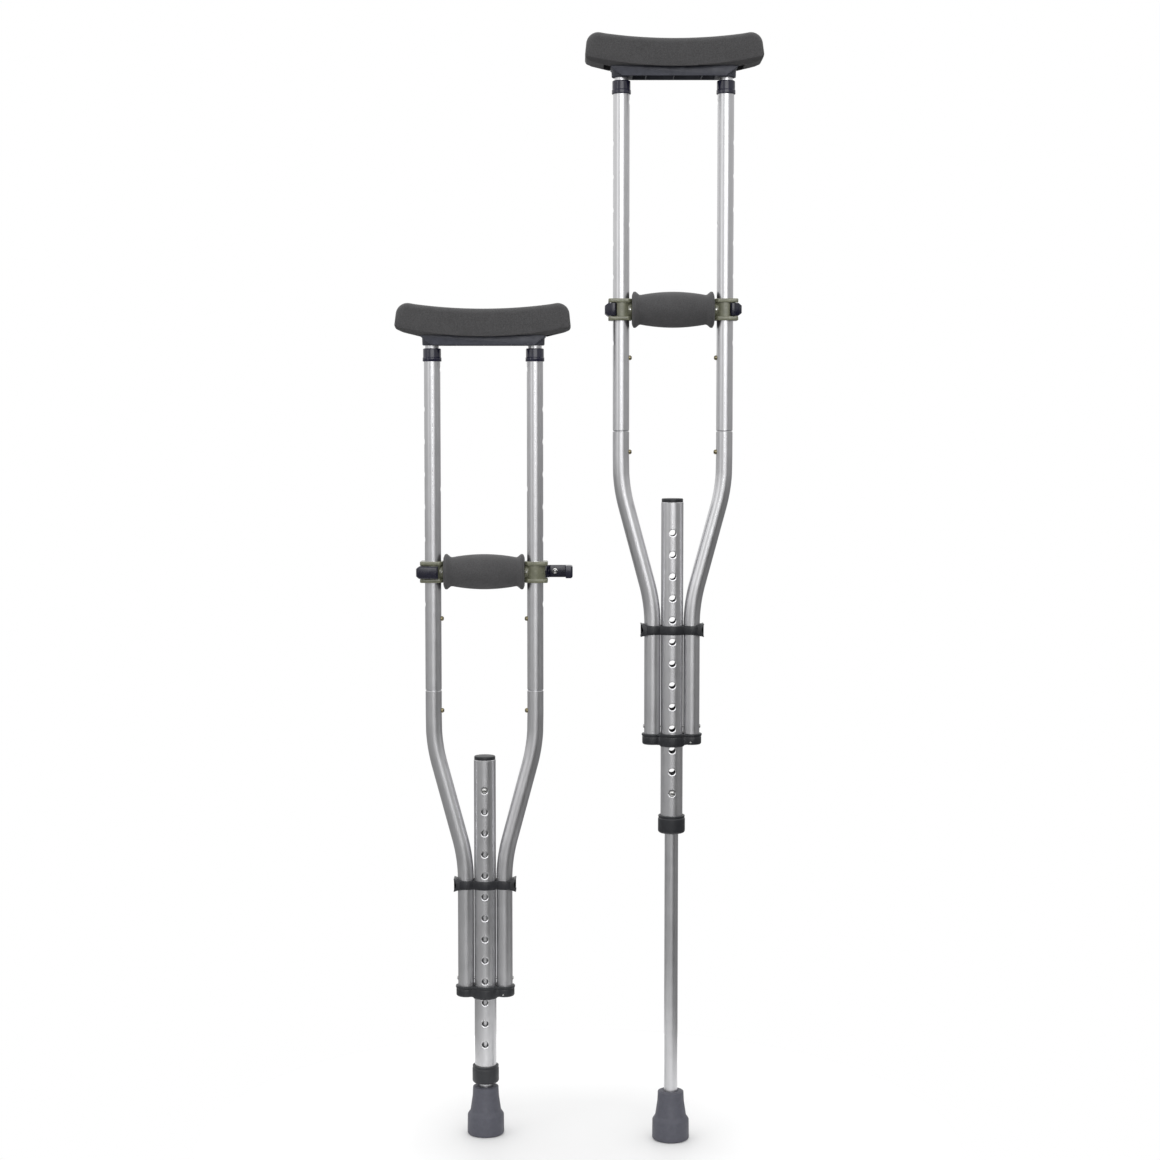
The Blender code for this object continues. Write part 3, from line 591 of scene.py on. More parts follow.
def center_plug():
    rest = CENTRE_TOP_Z + SLIP
    groove = CENTRE_TOP_Z + 0.0017
    head = CENTRE_R - 0.0004
    stem = CENTRE_BORE_R - SLIP
    hollow = stem - 0.0020
    stem_low = 0.026
    roof = 0.034
    profile = [(0.0, PLUG_TOP_Z, 0), (head, PLUG_TOP_Z, 0.0012), (head, groove + 0.0003, 0.0001),
               (head - 0.0003, groove, 0.0001), (head, groove - 0.0003, 0.0001), (head, rest, 0.0003),
               (stem, rest, 0), (stem, stem_low, 0.0006), (hollow, stem_low, 0), (hollow, roof, 0),
               (0.0, roof, 0)]
    return turned(profile, 4)


def foot_tip():
    """The rubber ferrule: a lipped mouth, a tapering body, a shoulder, and rings on its sole."""
    bore = POST_R + SLIP
    shoulder = SOLE_Z + 0.0265
    wide = 0.0219
    mouth_r, top_r, waist_r, low_r = 0.0131, 0.0152, 0.0157, 0.0183
    rim_z = TIP_TOP_Z - 0.0006
    profile = [(bore, TIP_TOP_Z, 0.0006), (mouth_r, TIP_TOP_Z, 0.0004), (mouth_r + 0.0003, rim_z, 0.0004),
               (top_r, rim_z, 0.0016), (waist_r, TIP_TOP_Z - 0.012, 0.03),
               (low_r, shoulder + 0.0020, 0.006), (wide - 0.0003, shoulder - 0.0030, 0.003),
               (wide, SOLE_Z + 0.0016, 0.0022), (wide - 0.0010, SOLE_Z + 0.0004, 0.0008)]
    groove_top = SOLE_Z + 0.0009
    sole = [(wide - 0.0018, SOLE_Z, 0.0004)]
    for radius in (0.0185, 0.0155, 0.0125, 0.0095, 0.0065):
        sole += [(radius, SOLE_Z, 0), (radius - 0.0002, groove_top, 0),
                 (radius - 0.0011, groove_top, 0), (radius - 0.0013, SOLE_Z, 0)]
    inside = [(0.0, SOLE_Z, 0), (0.0, LEG_LOW_Z - SLIP, 0), (bore, LEG_LOW_Z - SLIP, 0)]
    return turned(profile + sole + inside, 5, segments=FINE_SIDES)


def grip_foam():
    """The foam sleeve along X: flared ends, a neck beside each, and a swelling middle."""
    half = TUBE_X - GRIP_END
    bore = 0.0113
    neck_r = 0.0168
    mid_r = 0.0207
    neck_at = half - 0.0088
    flare_r = 0.02085
    end = [(bore, half, 0.0004), (neck_r, half, 0.0022), (flare_r, half - 0.0016, 0.0022),
           (flare_r, half - 0.0042, 0.0018), (neck_r + 0.0002, neck_at, 0.0030)]
    belly = []
    for t in spread(-1, 1, 28)[1:-1]:
        swell = (mid_r - neck_r) * math.cos(t * math.pi / 2) ** 0.8
        belly.append((neck_r + swell, -t * neck_at * 0.985, 0))
    profile = end + belly + [(r, -z, rad) for r, z, rad in end[::-1]]
    return along_x(turned(profile, 6, 60, FINE_SIDES))


def button(radius, foot_span, top):
    """A spring button along +X: foot inside, stem, domed head."""
    base, rim = foot_span
    foot = radius + 0.0011
    profile = [(0.0, top, 0), (radius * 0.60, top - 0.0001, 0.0016), (radius, top - 0.0016, 0.0012),
               (radius, rim, 0), (foot, rim, 0.0002), (foot, base, 0.0002), (0.0, base, 0)]
    return along_x(turned(profile, 6, 60, SMALL_SIDES))


def lever_pin():
    half = SADDLE_HALF - 0.0001
    profile = [(0.0, half, 0), (PIN_R, half, 0.0004), (PIN_R, -half, 0.0004), (0.0, -half, 0)]
    return turned(profile, 3, segments=TINY_SIDES)


def screw(radius):
    """Along +X: a low head with a cross slot, standing on the origin."""
    top, rim, foot = 0.0007, 0.0006, -0.0012
    profile = [(0.0, top, 0), (radius, rim, 0.0004), (radius, foot, 0), (0.0, foot, 0)]
    head = along_x(turned(profile, 4, segments=TINY_SIDES))
    slot = 0.00022  # half width
    slots = [block((0.0003, -y, -z), (0.002, y, z)) for y, z in ((slot, radius), (radius, slot))]
    return shaded(cut(head, slots), 40)


def rivet(radius, length):
    """Along +X: a low domed head at the origin and its shank behind it."""
    shank = radius * 0.55
    profile = [(0.0, 0.0012, 0), (radius * 0.75, 0.0011, 0.001), (radius, 0.0, 0.0003), (shank, 0.0, 0),
               (shank, -length, 0), (0.0, -length, 0)]
    return along_x(turned(profile, 5, segments=TINY_SIDES))


# ---- clamp band and end bracket
def three_tube_reach(x, ends, middle):
    """Half depth at x of a clamp moulded round three tubes, with soft valleys between them."""
    blend = 2.6
    total = 0.0
    for centre, radius in ((-BOW_X, ends), (0.0, middle), (BOW_X, ends)):
        total += max(0.0, radius ** 2 - (x - centre) ** 2) ** (blend / 2)
    return total ** (1 / blend)


def three_tube_outline(ends, middle, steps=44):
    half = BOW_X + ends
    xs = [half * math.sin(math.pi / 2 * t) for t in spread(-1, 1, steps)]
    front = [(x, -three_tube_reach(x, ends, middle)) for x in xs]
    return front[:-1] + [(x, -y) for x, y in front[:0:-1]]


def bow_room(side, low, high):
    return bar(TUBE_R + SLIP, low, high, (side * BOW_X, 0, 0))


def tube_room(low, high, bow_low):
    return [bar(CENTRE_R + SLIP, low, high)] + [bow_room(side, bow_low, high) for side in (-1, 1)]


def ramp(x, start, end):
    t = min(1.0, max(0.0, (x - start) / (end - start)))
    return t * t * (3 - 2 * t)


def clamp_band():
    """A moulded band whose ends are taller than its middle and notched at mid height."""
    half, flared = 0.0052, 0.0080
    rise = 0.0027  # of its rims towards its ends
    wing_start, wing_mid, wing_end = 0.0290, 0.0330, 0.0373
    notch = wing_end - 0.0030
    wing_depth = 0.0100
    ends = wing_end - 0.0002 - BOW_X
    low, high = BAND_Z - 0.02, BAND_Z + 0.02

    def rim_z(side):
        return lambda x, _: BAND_Z + side * (half + rise * ramp(abs(x), 0.0270, 0.0365))

    body = prism(three_tube_outline(ends * 0.82, 0.0150), rim_z(-1), rim_z(1), 0.0008)
    flares = []
    for side in (-1, 1):
        wing = [(wing_start, -half, 0.001), (wing_mid, -0.0064, 0.003), (wing_end, -flared, 0.0005)]
        wing += [(notch, 0.0, 0.0010)] + [(x, -z, radius) for x, z, radius in wing[::-1]]
        outline = [(side * x, BAND_Z + z) for x, z in filleted(wing, 4)][::side]
        flare = upright(prism(outline, -wing_depth, wing_depth, 0.0006))
        flares.append(cut(flare, [bow_room(side, low, high)]))
    return shaded(joined(cut(body, tube_room(low, high, low)), *flares), 40)


def end_bracket():
    """The cup under the bow tubes, deeper round the centre tube."""
    half = 0.00645
    ends = 0.0352 - BOW_X
    middle = 0.0162
    lobe = 0.0024  # how much deeper it is round the centre tube
    inset = 0.0006  # of the cup under its rim
    lip = BRACE_Z + half - 0.0030

    def bottom(x, _):
        return BRACE_Z - half - lobe * (1 - ramp(abs(x), 0.0128, 0.0156))

    cup = prism(three_tube_outline(ends - inset, middle - inset, 64), bottom, lip + 0.0006, 0.0022, 5)
    rim = prism(three_tube_outline(ends, middle, 64), lip, BRACE_Z + half, 0.0008, 4)
    room = tube_room(BRACE_Z - 0.02, BRACE_Z + 0.02, BRACE_Z - SLIP)
    return shaded(cut(combined(cup, [rim], "UNION"), room), 40)


# ---- underarm rest
REST_HALF = 0.0725  # half length of the bracket where it meets the pad
CREASE_LOW_Z = PAD_LOW_Z - 0.0024
CREASE_RISE = 0.0111  # how far the pad's lower front edge curves up towards its ends
CREST_LOW_Z = PAD_LOW_Z + PAD_THICK - 0.0004
CREST_RISE = 0.0088  # the same for its upper edge
PAD_HALF_DEPTH = PAD_DEPTH / 2 + 0.0010
PAD_LEAN = 0.0030  # how far the pad's ends lean inwards going up
UNDER_RISE = 0.24  # slope of its underside beyond the bracket
HOLLOW_HALF = 0.0165  # of the hollows beyond the bracket's ends, in Y
HOLLOW_TOP_Z = PAD_LOW_Z + 0.0072


def crease_z(x):
    return CREASE_LOW_Z + CREASE_RISE * (2 * x / PAD_LENGTH) ** 2


def crest_z(x):
    return CREST_LOW_Z + CREST_RISE * (2 * x / PAD_LENGTH) ** 2


def underside_z(x):
    """Height of the pad's underside in mid depth: flat on the bracket, and rising beyond its ends."""
    beyond = max(0.0, abs(x) - REST_HALF)
    return PAD_LOW_Z - 0.0003 - 0.0012 * ramp(abs(x), REST_HALF - 0.0020, REST_HALF) + UNDER_RISE * beyond


def hang(x):
    """How far the underside hangs below the crease (less than nothing where the pad wraps the bracket)."""
    corner = 0.010
    near_end = min(1.0, max(0.0, (abs(x) - (PAD_LENGTH / 2 - corner)) / corner))
    return (crease_z(x) - underside_z(x)) * math.sqrt(1 - near_end ** 2)


def underarm_pad():
    """The foam pad: concave along its length, soft upper edges, a crease below, and a shaped underside."""
    half = PAD_LENGTH / 2
    top_half = half - PAD_LEAN
    shares = spread(-1, 1, 48)[1:-1]
    under = [(x, crease_z(x), 0) for x in (half * 0.965 * t for t in shares)]
    top = [(x, crest_z(x), 0) for x in (half * 0.80 * t for t in shares[::-1])]
    ends = [(half, crease_z(half), 0.0030), (top_half, crest_z(top_half) + 0.0006, 0.0165)]
    outline = filleted(under + ends + top + [(-x, z, r) for x, z, r in ends[::-1]], 12)
    flat = BRACKET_DEPTH / 2 + 0.0006

    def edge(x, z):
        return 0.0011 + 0.0055 * ramp(z, crease_z(x) + 0.001, crease_z(x) + 0.020)

    body = prism(outline, -PAD_HALF_DEPTH, PAD_HALF_DEPTH, edge, 8, 18)
    for vert in body.vertices:
        x, z, y = vert.co
        share = 1 - ramp(z, crease_z(x) + 0.0006, crease_z(x) + 0.0060)
        vert.co.y -= hang(x) * share * (1 - ramp(abs(y), flat, PAD_HALF_DEPTH))
    body = upright(body)
    hollows = []
    for side in (-1, 1):
        near, far = sorted(side * (REST_HALF + by) for by in (-0.0022, 0.0080))
        hollows.append(block((near, -HOLLOW_HALF, PAD_LOW_Z - 0.006), (far, HOLLOW_HALF, HOLLOW_TOP_Z)))
    return shaded(cut(body, hollows), 50)


def underarm_bracket():
    """The moulding under the pad: a ribbed tray open below, slanted ends, and a socket for each post."""
    low_half = 0.0597
    socket_r = 0.0116
    deep = BRACKET_DEPTH / 2
    top_z = PAD_LOW_Z - 0.0005
    lip_z = top_z - 0.0016
    top = [(REST_HALF * t, top_z) for t in spread(1, -1, 16)]
    outline = [(-low_half, BRACKET_LOW_Z), (low_half, BRACKET_LOW_Z), (REST_HALF, lip_z)]
    body = upright(prism(outline + top + [(-REST_HALF, lip_z)], -deep, deep))
    wall = 0.0018
    rib = 0.0006
    edges = [-0.0478, -0.032, 0.0, 0.032, 0.0478]  # of the pockets between the ribs
    pockets = [block((left + rib, -deep + wall, BRACKET_LOW_Z - 0.005),
                     (right - rib, deep - wall, PAD_LOW_Z - 0.002)) for left, right in zip(edges, edges[1:])]
    body = bevelled(cut(body, pockets), 0.0005)
    room = [bar(POST_R + SLIP, BRACKET_LOW_Z - 0.004, BRACKET_LOW_Z + POST_IN_SOCKET + SLIP,
                (side * TUBE_X, 0, 0)) for side in (-1, 1)]
    socket_top = PAD_LOW_Z - 0.0012
    socket_low = BRACKET_LOW_Z - 0.0001
    ring = filleted([(0.0, socket_top, 0), (socket_r, socket_top, 0.0004),
                     (socket_r - 0.0004, socket_low, 0.0012), (0.0, socket_low, 0)], 4)
    sockets = [shifted(lathe(ring), side * TUBE_X) for side in (-1, 1)]
    return shaded(cut(combined(body, sockets, "UNION"), room), 40)


# ---- saddles and levers
def handed(outline, hand):
    """The outline itself for one hand, and its mirror image in Y for the other."""
    return outline if hand > 0 else [(x, -y) for x, y in outline][::-1]


def saddle(hand):
    """About its tube's axis: +X is the outer side, hand sets the side of the hinge in Y."""
    inner = -GRIP_END + 0.0003
    back = HINGE_BACK + 0.0028
    front = -0.0132
    out = 0.0148
    flange = filleted([(inner, -0.0082, 0.002), (-0.0090, front + 0.0012, 0.003), (0.002, front, 0.005),
                       (out, front, 0.0040), (out, back, 0.0030), (0.004, back, 0.004),
                       (-0.0090, back - 0.0016, 0.003), (inner, 0.0082, 0.002)], 6)
    flange = handed(flange, hand)
    lower = prism(flange, -SADDLE_HALF, -SADDLE_HALF + FLANGE, 0.0010, 4)
    upper = prism(flange, SADDLE_HALF - FLANGE, SADDLE_HALF, 0.0010, 4)
    barrel = bar(BARREL_R, -SADDLE_HALF + 0.003, SADDLE_HALF - 0.003)
    neck_r, peg_r = 0.0098, 0.0080
    neck_end, peg_end = -0.008, -GRIP_END - 0.010
    neck = along_x(lathe(filleted([(0.0, neck_end, 0), (neck_r, neck_end, 0), (neck_r, inner, 0.0006),
                                   (peg_r, inner, 0), (peg_r, peg_end, 0), (0.0, peg_end, 0)], 3)))
    hinge = (HINGE_OUT, hand * HINGE_BACK, 0)
    swing = LEVER_HALF + 0.0003
    lever_room = [bar(HINGE_ROOM_R, -swing, swing, hinge), along_x(bar(STUD_ROOM_R, 0.0, 0.03))]
    parts = [cut(part, [bar(TUBE_R + SLIP, -0.03, 0.03)] + (lever_room if part is barrel else []))
             for part in (lower, upper, barrel, neck)]
    return shaded(joined(*parts), 40)


def lever(hand):
    """In its closed place about its tube's axis, then moved so that its origin is on the hinge."""
    inner = 0.0127
    outer = 0.0188
    hook_in = -HINGE_BACK - 0.0020
    hook = -LEVER_REACH
    front = HINGE_BACK + 0.0036
    tip = -0.0068
    hook_end = [(tip, hook_in, 0.0003), (tip, hook + 0.0018, 0.0008), (tip + 0.0018, hook, 0.0016)]
    outer_face = [(outer, hook, 0.0050), (outer, front - 0.0046, 0.001), (0.0160, front - 0.0022, 0.0006)]
    nose = [(0.0116, front - 0.0010, 0.0005), (0.0100, front, 0.0005), (0.0074, front, 0.0005)]
    inner_face = [(0.0059, front - 0.0018, 0.0006), (0.0062, HINGE_BACK - 0.0012, 0.0008),
                  (HINGE_OUT - 0.0030, HINGE_BACK - 0.0040, 0.002), (inner, HINGE_BACK - 0.0052, 0.001),
                  (inner, hook_in, 0.0008)]
    plan = filleted(hook_end + outer_face + nose + inner_face, 6)
    body = prism(handed(plan, hand), -LEVER_HALF, LEVER_HALF)
    ridge = 0.0150
    flat = 0.0042
    face = [(-0.02, -0.02), (ridge, -0.02), (ridge, -LEVER_HALF), (outer + 0.0001, -flat)]
    face += [(x, -z) for x, z in face[::-1]]
    body = combined(body, [upright(prism(face, -0.04, 0.04))], "INTERSECT")
    side = filleted([(-LEVER_HALF, hook, 0.0026), (LEVER_HALF, hook, 0.0026), (LEVER_HALF, 0.03, 0),
                     (-LEVER_HALF, 0.03, 0)], 6)
    side = moved(prism(handed(side, hand), -0.04, 0.04), Matrix.Rotation(-math.pi / 2, 4, "Y"))
    body = combined(body, [side], "INTERSECT")
    body = bevelled(body, 0.0006, 3, 40)
    body = cut(body, [bar(PIN_R + SLIP, -0.02, 0.02, (HINGE_OUT, hand * HINGE_BACK, 0), TINY_SIDES)])
    return shaded(shifted(body, -HINGE_OUT, -hand * HINGE_BACK), 35)


def lever_stud(hand):
    """The steel stud that locks into the tube, with its collar on the lever's inner face."""
    tip = 0.0087
    face = 0.0128
    stem, flange, half = 0.0026, 0.0032, 0.0004
    profile = [(0.0, tip, 0), (0.0014, tip, 0.0004), (stem, tip + 0.0013, 0.0006),
               (stem, face - half, 0.0002), (flange, face - half, 0.0002), (flange, face + half, 0),
               (0.0, face + half, 0)]
    mesh = along_x(turned(profile[::-1], 5, segments=SMALL_SIDES))
    return shifted(mesh, -HINGE_OUT, -hand * HINGE_BACK)


# ---- materials
def feed(tree, socket, given):
    """Gives a shader input a fixed value, or the output of another node."""
    if isinstance(given, bpy.types.NodeSocket):
        tree.links.new(given, socket)
    else:
        socket.default_value = given


def add_node(tree, kind, **inputs):
    """A new shader node. Each keyword names an input, with _ for a space, and what feeds it."""
    node = tree.nodes.new("ShaderNode" + kind)
    for name, given in inputs.items():
        feed(tree, node.inputs[name.replace("_", " ")], given)
    return node


class Look:
    """A procedural material: base colour, roughness and bump varied by noise in object space."""

    def __init__(self, name, colour, roughness, metallic=0.0):
        self.mat = bpy.data.materials.new("look_" + name)
        self.mat.use_nodes = True
        self.mat.diffuse_color = (*colour, 1.0)
        self.tree = self.mat.node_tree
        self.colour = colour
        self.normal = None
        self.place = add_node(self.tree, "TexCoord").outputs["Object"]
        self.give("Base Color", (*colour, 1.0))
        self.give("Roughness", roughness)
        self.give("Metallic", metallic)

    def give(self, name, given):
        feed(self.tree, self.tree.nodes["Principled BSDF"].inputs[name], given)
        return self

    def noise(self, scale, detail=4.0, rough=0.55):
        return add_node(self.tree, "TexNoise", Vector=self.place, Scale=scale, Detail=detail,
                        Roughness=rough).outputs["Fac"]

    def cells(self, scale):
        return add_node(self.tree, "TexVoronoi", Vector=self.place, Scale=scale).outputs["Distance"]

    def tinted(self, source, dark, light, low=0.35, high=0.65):
        """Varies the base colour between two shares of itself."""
        node = add_node(self.tree, "ValToRGB", Fac=source)
        for stop, position, share in zip(node.color_ramp.elements, (low, high), (dark, light)):
            stop.position = position
            stop.color = (*(min(1.0, c * share) for c in self.colour), 1.0)
        return self.give("Base Color", node.outputs["Color"])

    def roughened(self, source, low, high):
        node = add_node(self.tree, "MapRange", Value=source, From_Min=0.3, From_Max=0.7, To_Min=low,
                        To_Max=high)
        return self.give("Roughness", node.outputs["Result"])

    def bumped(self, source, strength, distance):
        node = add_node(self.tree, "Bump", Height=source, Strength=strength, Distance=distance)
        if self.normal is not None:
            feed(self.tree, node.inputs["Normal"], self.normal)
        self.normal = node.outputs["Normal"]
        return self.give("Normal", self.normal)


def aluminium(name, colour, rough_low, rough_high):
    """Satin clear-anodised tube with faint handling marks; also the darker copy for the tubes' insides,
    which is painted shade.
    """
    look = Look(name, colour, (rough_low + rough_high) / 2, 1.0)
    cloud = look.noise(60, detail=5.0)
    look.tinted(cloud, 0.97, 1.03)
    look.roughened(cloud, rough_low, rough_high)
    look.bumped(look.noise(2600, detail=2.0), 0.02, 0.00001)
    return look.mat


def steel():
    look = Look("steel", (0.50, 0.50, 0.49), 0.10, 1.0)
    return look.roughened(look.noise(700), 0.08, 0.16).mat


def brass():
    look = Look("brass", (0.24, 0.21, 0.13), 0.20, 1.0)
    look.tinted(look.noise(400), 0.78, 1.10)
    return look.roughened(look.noise(600), 0.16, 0.34).mat


def foam():
    """Closed-cell foam: fine pores, a soft sheen and slightly uneven colour."""
    look = Look("foam", (0.057, 0.056, 0.058), 0.82)
    look.tinted(look.noise(900, detail=6.0, rough=0.7), 0.72, 1.30)
    look.roughened(look.noise(60), 0.74, 0.90)
    look.bumped(look.noise(55, detail=3.0), 0.10, 0.0006)
    look.bumped(look.cells(1500), 0.55, 0.00025)
    return look.give("Sheen Weight", 0.12).give("Sheen Roughness", 0.6).mat


def plastic(name, colour, rough_low, rough_high, grain, coat=0.0):
    """Moulded plastic: fine spark-eroded grain, and edges and faces that vary a little."""
    look = Look(name, colour, rough_low)
    look.tinted(look.noise(180, detail=5.0), 0.86, 1.12)
    look.roughened(look.noise(140, detail=4.0), rough_low, rough_high)
    look.bumped(look.noise(2400, detail=2.0), grain, 0.00006)
    look.bumped(look.noise(90), 0.08, 0.0003)
    return look.give("Coat Weight", coat).give("Coat Roughness", 0.2).mat


def rubber():
    look = Look("tip_rubber", (0.060, 0.061, 0.078), 0.55)
    look.tinted(look.noise(260, detail=6.0), 0.93, 1.06)
    look.roughened(look.noise(120), 0.48, 0.60)
    look.bumped(look.noise(1800, detail=3.0), 0.25, 0.0001)
    look.bumped(look.noise(70), 0.12, 0.0005)
    return look.mat


def floor_look():
    look = Look("floor", (0.74, 0.74, 0.74), 0.6)
    away = add_node(look.tree, "VectorMath", Vector=look.place)
    away.operation = "LENGTH"
    look.tinted(away.outputs["Value"], 1.07, 1.33, 0.13, 0.38)
    look.bumped(look.noise(40), 0.05, 0.0005)
    return look.mat


LOOKS = {mat.name.removeprefix("look_"): mat for mat in (
    # bore: a darker, rougher copy of the aluminium for the tubes' insides, which is painted shade
    aluminium("bore", (0.13, 0.13, 0.135), 0.5, 0.7),
    aluminium("aluminium", (0.61, 0.61, 0.622), 0.31, 0.33),
    steel(),
    brass(),
    foam(),
    plastic("grey_plastic", (0.050, 0.053, 0.070), 0.42, 0.56, 0.25),
    plastic("navy_plastic", (0.016, 0.016, 0.034), 0.09, 0.14, 0.02),
    plastic("black_plastic", (0.012, 0.013, 0.016), 0.36, 0.48, 0.25),
    plastic("lever_plastic", (0.010, 0.010, 0.022), 0.16, 0.24, 0.04),
    plastic("olive_plastic", (0.165, 0.168, 0.115), 0.22, 0.30, 0.05, 0.3),
    rubber(),
)}


# ---- assembly
def build_forms():
    """Every distinct shape once; both crutches use the same meshes."""
    makers = (center_tube, center_plug, clamp_band, end_bracket, leg_collar, bow_tube, upper_tube, collar,
              underarm_pad, underarm_bracket, post, grip_foam, lever_pin, leg_tube, leg_bush, foot_tip)
    forms = {make.__name__: make() for make in makers}
    forms["snap_button"] = button(SNAP_HOLE_R - 0.0003, SNAP_FOOT, TUBE_R + SNAP_RISE)
    forms["leg_button"] = button(LEG_HOLE_R - 0.0006, LEG_BUTTON_FOOT, CENTRE_R + LEG_BUTTON_RISE)
    forms["brace_rivet"] = rivet(RIVET_R, TUBE_R + BOW_X - CENTRE_BORE_R - 0.0005)
    forms["screw"] = screw(SCREW_R)
    for hand in (1, -1):
        for make in (saddle, lever, lever_stud):
            forms[make.__name__, hand] = make(hand)
    return forms


def centre_of(node):
    low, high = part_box(node)
    return (low + high) / 2


class Crutch:
    """One crutch of the pair: reads its place, leg, grip side and open lever from the frame."""

    def __init__(self, prefix, forms):
        self.prefix = prefix
        self.forms = forms
        tube = centre_of(prefix + "center_tube")
        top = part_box(prefix + "center_tube")[1].z
        self.at = Vector((tube.x, tube.y, top - CENTRE_TOP_Z))
        self.leg_out = self.at.z + SOLE_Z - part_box(prefix + "foot_tip")[0].z
        self.grip_z = centre_of(prefix + "grip_foam").z - self.at.z
        self.hinge_y = centre_of(prefix + "lever_pin_left").y - self.at.y

    def put(self, name, look, body, offset=(0.0, 0.0, 0.0), turn=0.0, form=None, replacing=True):
        """Adds a piece that rides a body and, unless told otherwise, replaces the CAD node of its name."""
        obj = added(self.prefix + name + "_form", self.forms[form or name], self.at + Vector(offset))
        obj.rotation_euler = (0.0, 0.0, turn)
        if not obj.data.materials:
            obj.data.materials.append(LOOKS[look])
            # the second slot holds the dark bore look: painted shade on the tube's inside
            if look == "aluminium":
                obj.data.materials.append(LOOKS["bore"])
        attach(obj, self.prefix + body)
        if replacing:
            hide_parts(self.prefix + name)

    def build(self):
        to_front = -math.pi / 2
        self.put("center_tube", "aluminium", "frame")
        for name in ("center_plug", "clamp_band", "end_bracket", "leg_collar"):
            self.put(name, "black_plastic", "frame")
        self.put("underarm_pad", "foam", "rest")
        self.put("underarm_bracket", "grey_plastic", "rest")
        leg = (0.0, 0.0, -self.leg_out)
        self.put("leg_tube", "aluminium", "leg", leg)
        self.put("leg_bush", "black_plastic", "leg", leg, replacing=False)
        self.put("foot_tip", "tip_rubber", "leg", leg)
        self.put("leg_button", "steel", "leg_snap", leg, to_front)
        self.put("grip_foam", "foam", "handgrip", (0.0, 0.0, self.grip_z))
        self.put("brace_screw", "steel", "frame", BRACE_SCREW_AT, to_front, "screw", False)
        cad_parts[self.prefix + "grip_core"].material_slots[0].material = LOOKS["aluminium"]
        for side, sign, outward in (("left", -1, math.pi), ("right", 1, 0.0)):
            self.build_side("_" + side, sign, outward)
            self.build_clamp("_" + side, sign, outward)

    def build_side(self, tag, sign, outward):
        tube_at = (sign * TUBE_X, 0.0, 0.0)
        self.put("bow_tube" + tag, "aluminium", "frame", turn=outward, form="bow_tube")
        for name, look, body in (("upper_tube", "aluminium", "frame"), ("collar", "navy_plastic", "frame"),
                                 ("post", "aluminium", "rest")):
            self.put(name + tag, look, body, tube_at, outward, name)
        for joint, z in (("post", POST_BUTTON_Z), ("bow", BOW_BUTTON_Z)):
            self.put(joint + "_button" + tag, "brass", joint + "_snap" + tag, (sign * TUBE_X, 0.0, z),
                     outward + math.pi, "snap_button")
        rivet_at = (sign * (BOW_X + TUBE_R), 0.0, BRACE_Z + RIVET_RISE)
        self.put("brace_rivet" + tag, "steel", "frame", rivet_at, outward, "brace_rivet", False)

    def build_clamp(self, tag, sign, outward):
        hand = sign * (1 if self.hinge_y > 0 else -1)
        x = sign * TUBE_X
        hinge = (x + sign * HINGE_OUT, self.hinge_y, self.grip_z)
        low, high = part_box(self.prefix + "lever" + tag)
        is_open = high.x - low.x > high.y - low.y
        lever_turn = outward + (math.copysign(math.pi / 2, sign * self.hinge_y) if is_open else 0.0)
        arm = "lever_arm" + tag
        saddle_at = (x, 0.0, self.grip_z)
        self.put("saddle" + tag, "olive_plastic", "handgrip", saddle_at, outward, ("saddle", hand))
        screw_at = (x - sign * SADDLE_SCREW_IN, -SADDLE_SCREW_FRONT, self.grip_z)
        self.put("saddle_screw" + tag, "steel", "handgrip", screw_at, -math.pi / 2, "screw", False)
        self.put("lever" + tag, "lever_plastic", arm, hinge, lever_turn, ("lever", hand))
        self.put("lever_stud" + tag, "steel", arm, hinge, lever_turn, ("lever_stud", hand), False)
        self.put("lever_pin" + tag, "steel", "handgrip", hinge, outward, "lever_pin")


# ---- studio
FLOOR_R = 0.45
FLOOR_TAPER = 0.03  # the floor's rim is this wide, and thins to nothing
FLOOR_THICK = 0.002
FLOOR_GAP = 0.0002  # below the lowest foot


def build_floor():
    """A pale round floor under the pair. It pales further towards its rim, to meet the white surround.

    It moves with the short crutch's leg, whose foot is always the lowest.
    """
    low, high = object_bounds()
    flat_r = FLOOR_R - FLOOR_TAPER
    sheet = lathe([(0.0, 0.0), (FLOOR_R, 0.0), (flat_r, -FLOOR_THICK), (0.0, -FLOOR_THICK)], 96)
    floor = added("floor", sheet, ((low.x + high.x) / 2, (low.y + high.y) / 2, low.z - FLOOR_GAP))
    floor.data.materials.append(floor_look())
    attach(floor, "short_leg")


# The room the metal reflects. Strengths go by direction: sideways is X, depth is Y and height is Z.
FRONT_LIGHT = {"direction": (0.11, -1.0, 0.14), "inside": 13.0, "outside": 28.0}
FRONT_STRENGTH = 3.5
FRONT_SHADOW = {"direction": (0.55, -0.80, -0.16), "inside": 10.0, "outside": 30.0}
SHADOW_STRENGTH = 0.03
SIDE_SPAN = (-0.9, 0.9)  # sideways, from far left to far right
UPPER_STRENGTHS = (1.05, 0.72)  # left and right, above the horizon
LOWER_STRENGTHS = (0.33, 0.22)  # and below it
HORIZON = (-0.040, 0.072)
ZENITH = (0.35, 0.75)
ZENITH_STRENGTH = 1.3
SURROUND = 1.0  # what the camera itself sees


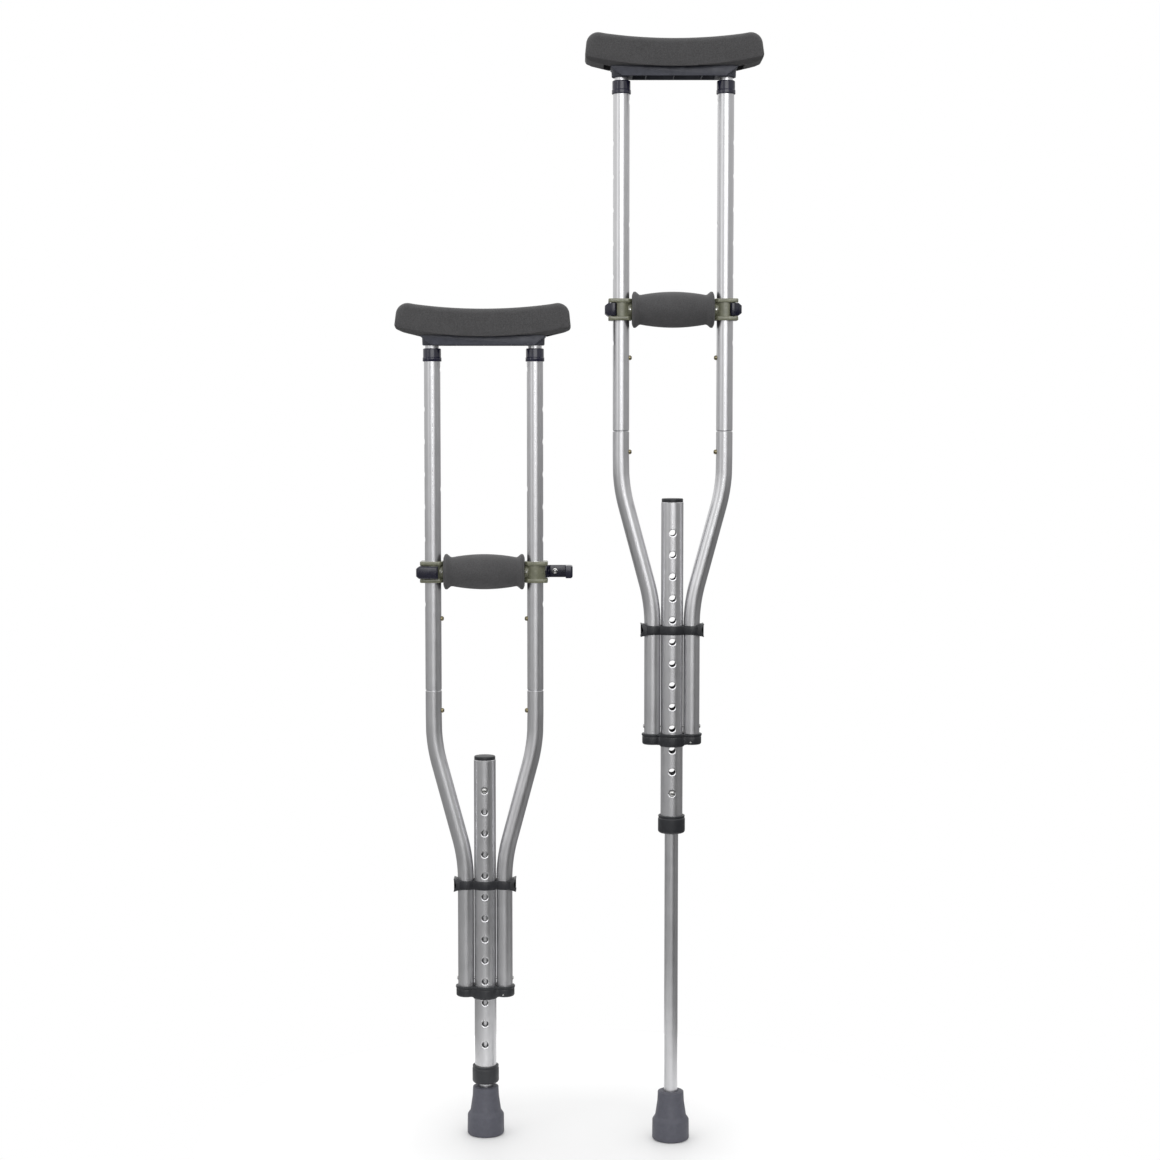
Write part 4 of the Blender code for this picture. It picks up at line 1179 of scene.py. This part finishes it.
class Studio:
    """The room the metal reflects, with a wide soft front light and a darker lower half."""

    def __init__(self):
        world = bpy.data.worlds.new("studio")
        bpy.context.scene.world = world
        world.use_nodes = True
        self.tree = world.node_tree
        self.tree.nodes.clear()
        self.direction = add_node(self.tree, "TexCoord").outputs["Generated"]
        self.right, _, self.up = add_node(self.tree, "SeparateXYZ", Vector=self.direction).outputs

    def eased(self, source, span, strengths=(0.0, 1.0)):
        """Goes smoothly between two strengths as the source crosses a span."""
        node = add_node(self.tree, "MapRange", Value=source, From_Min=span[0], From_Max=span[1],
                        To_Min=strengths[0], To_Max=strengths[1])
        node.interpolation_type = "SMOOTHSTEP"
        return node.outputs["Result"]

    def mixed(self, share, first, second):
        return add_node(self.tree, "Mix", Factor=share, A=first, B=second).outputs["Result"]

    def near(self, direction, inside, outside):
        """One inside a cone about a direction, fading to nothing outside it (both in degrees)."""
        node = add_node(self.tree, "VectorMath", Vector=self.direction)
        node.operation = "DOT_PRODUCT"
        node.inputs[1].default_value = Vector(direction).normalized()
        return self.eased(node.outputs["Value"], [math.cos(math.radians(a)) for a in (outside, inside)])

    def build(self):
        upper = self.eased(self.right, SIDE_SPAN, UPPER_STRENGTHS)
        upper = self.mixed(self.near(**FRONT_LIGHT), upper, FRONT_STRENGTH)
        lower = self.eased(self.right, SIDE_SPAN, LOWER_STRENGTHS)
        lower = self.mixed(self.near(**FRONT_SHADOW), lower, SHADOW_STRENGTH)
        room = self.mixed(self.eased(self.up, HORIZON), lower, upper)
        room = self.mixed(self.eased(self.up, ZENITH), room, ZENITH_STRENGTH)
        seen = add_node(self.tree, "LightPath").outputs["Is Camera Ray"]
        shader = add_node(self.tree, "Background", Color=(1.0, 1.0, 1.0, 1.0),
                          Strength=self.mixed(seen, room, SURROUND))
        add_node(self.tree, "OutputWorld", Surface=shader.outputs["Background"])


def build_lights():
    """A soft lamp on the left, beside the room's own light, for the plastics' small highlights."""
    lamp = bpy.data.lights.new("window", "AREA")
    lamp.shape = "RECTANGLE"
    lamp.size, lamp.size_y = 0.35, 1.5
    lamp.energy = 3
    window = added("window", lamp, (-2.4, -1.75, 0.5))
    aim = Vector((-0.1, 0.0, 0.1)) - window.location
    window.rotation_euler = aim.to_track_quat("-Z", "Y").to_euler()


def build_camera():
    """The viewpoint: a long lens a little above the grips' height, tipped slightly down."""
    lens = bpy.data.cameras.new("camera")
    lens.sensor_width = 36.0
    lens.lens = 68.226
    lens.clip_end = 200.0
    camera = added("camera", lens, (-0.1075, -2.5573, -0.1271))
    camera.rotation_euler = (math.radians(90 - 4.162), 0.0, 0.0)
    bpy.context.scene.camera = camera
    bpy.context.scene.view_settings.view_transform = "Standard"


shared_forms = build_forms()
for crutch_prefix in ("tall_", "short_"):
    Crutch(crutch_prefix, shared_forms).build()
build_floor()
Studio().build()
build_lights()
build_camera()
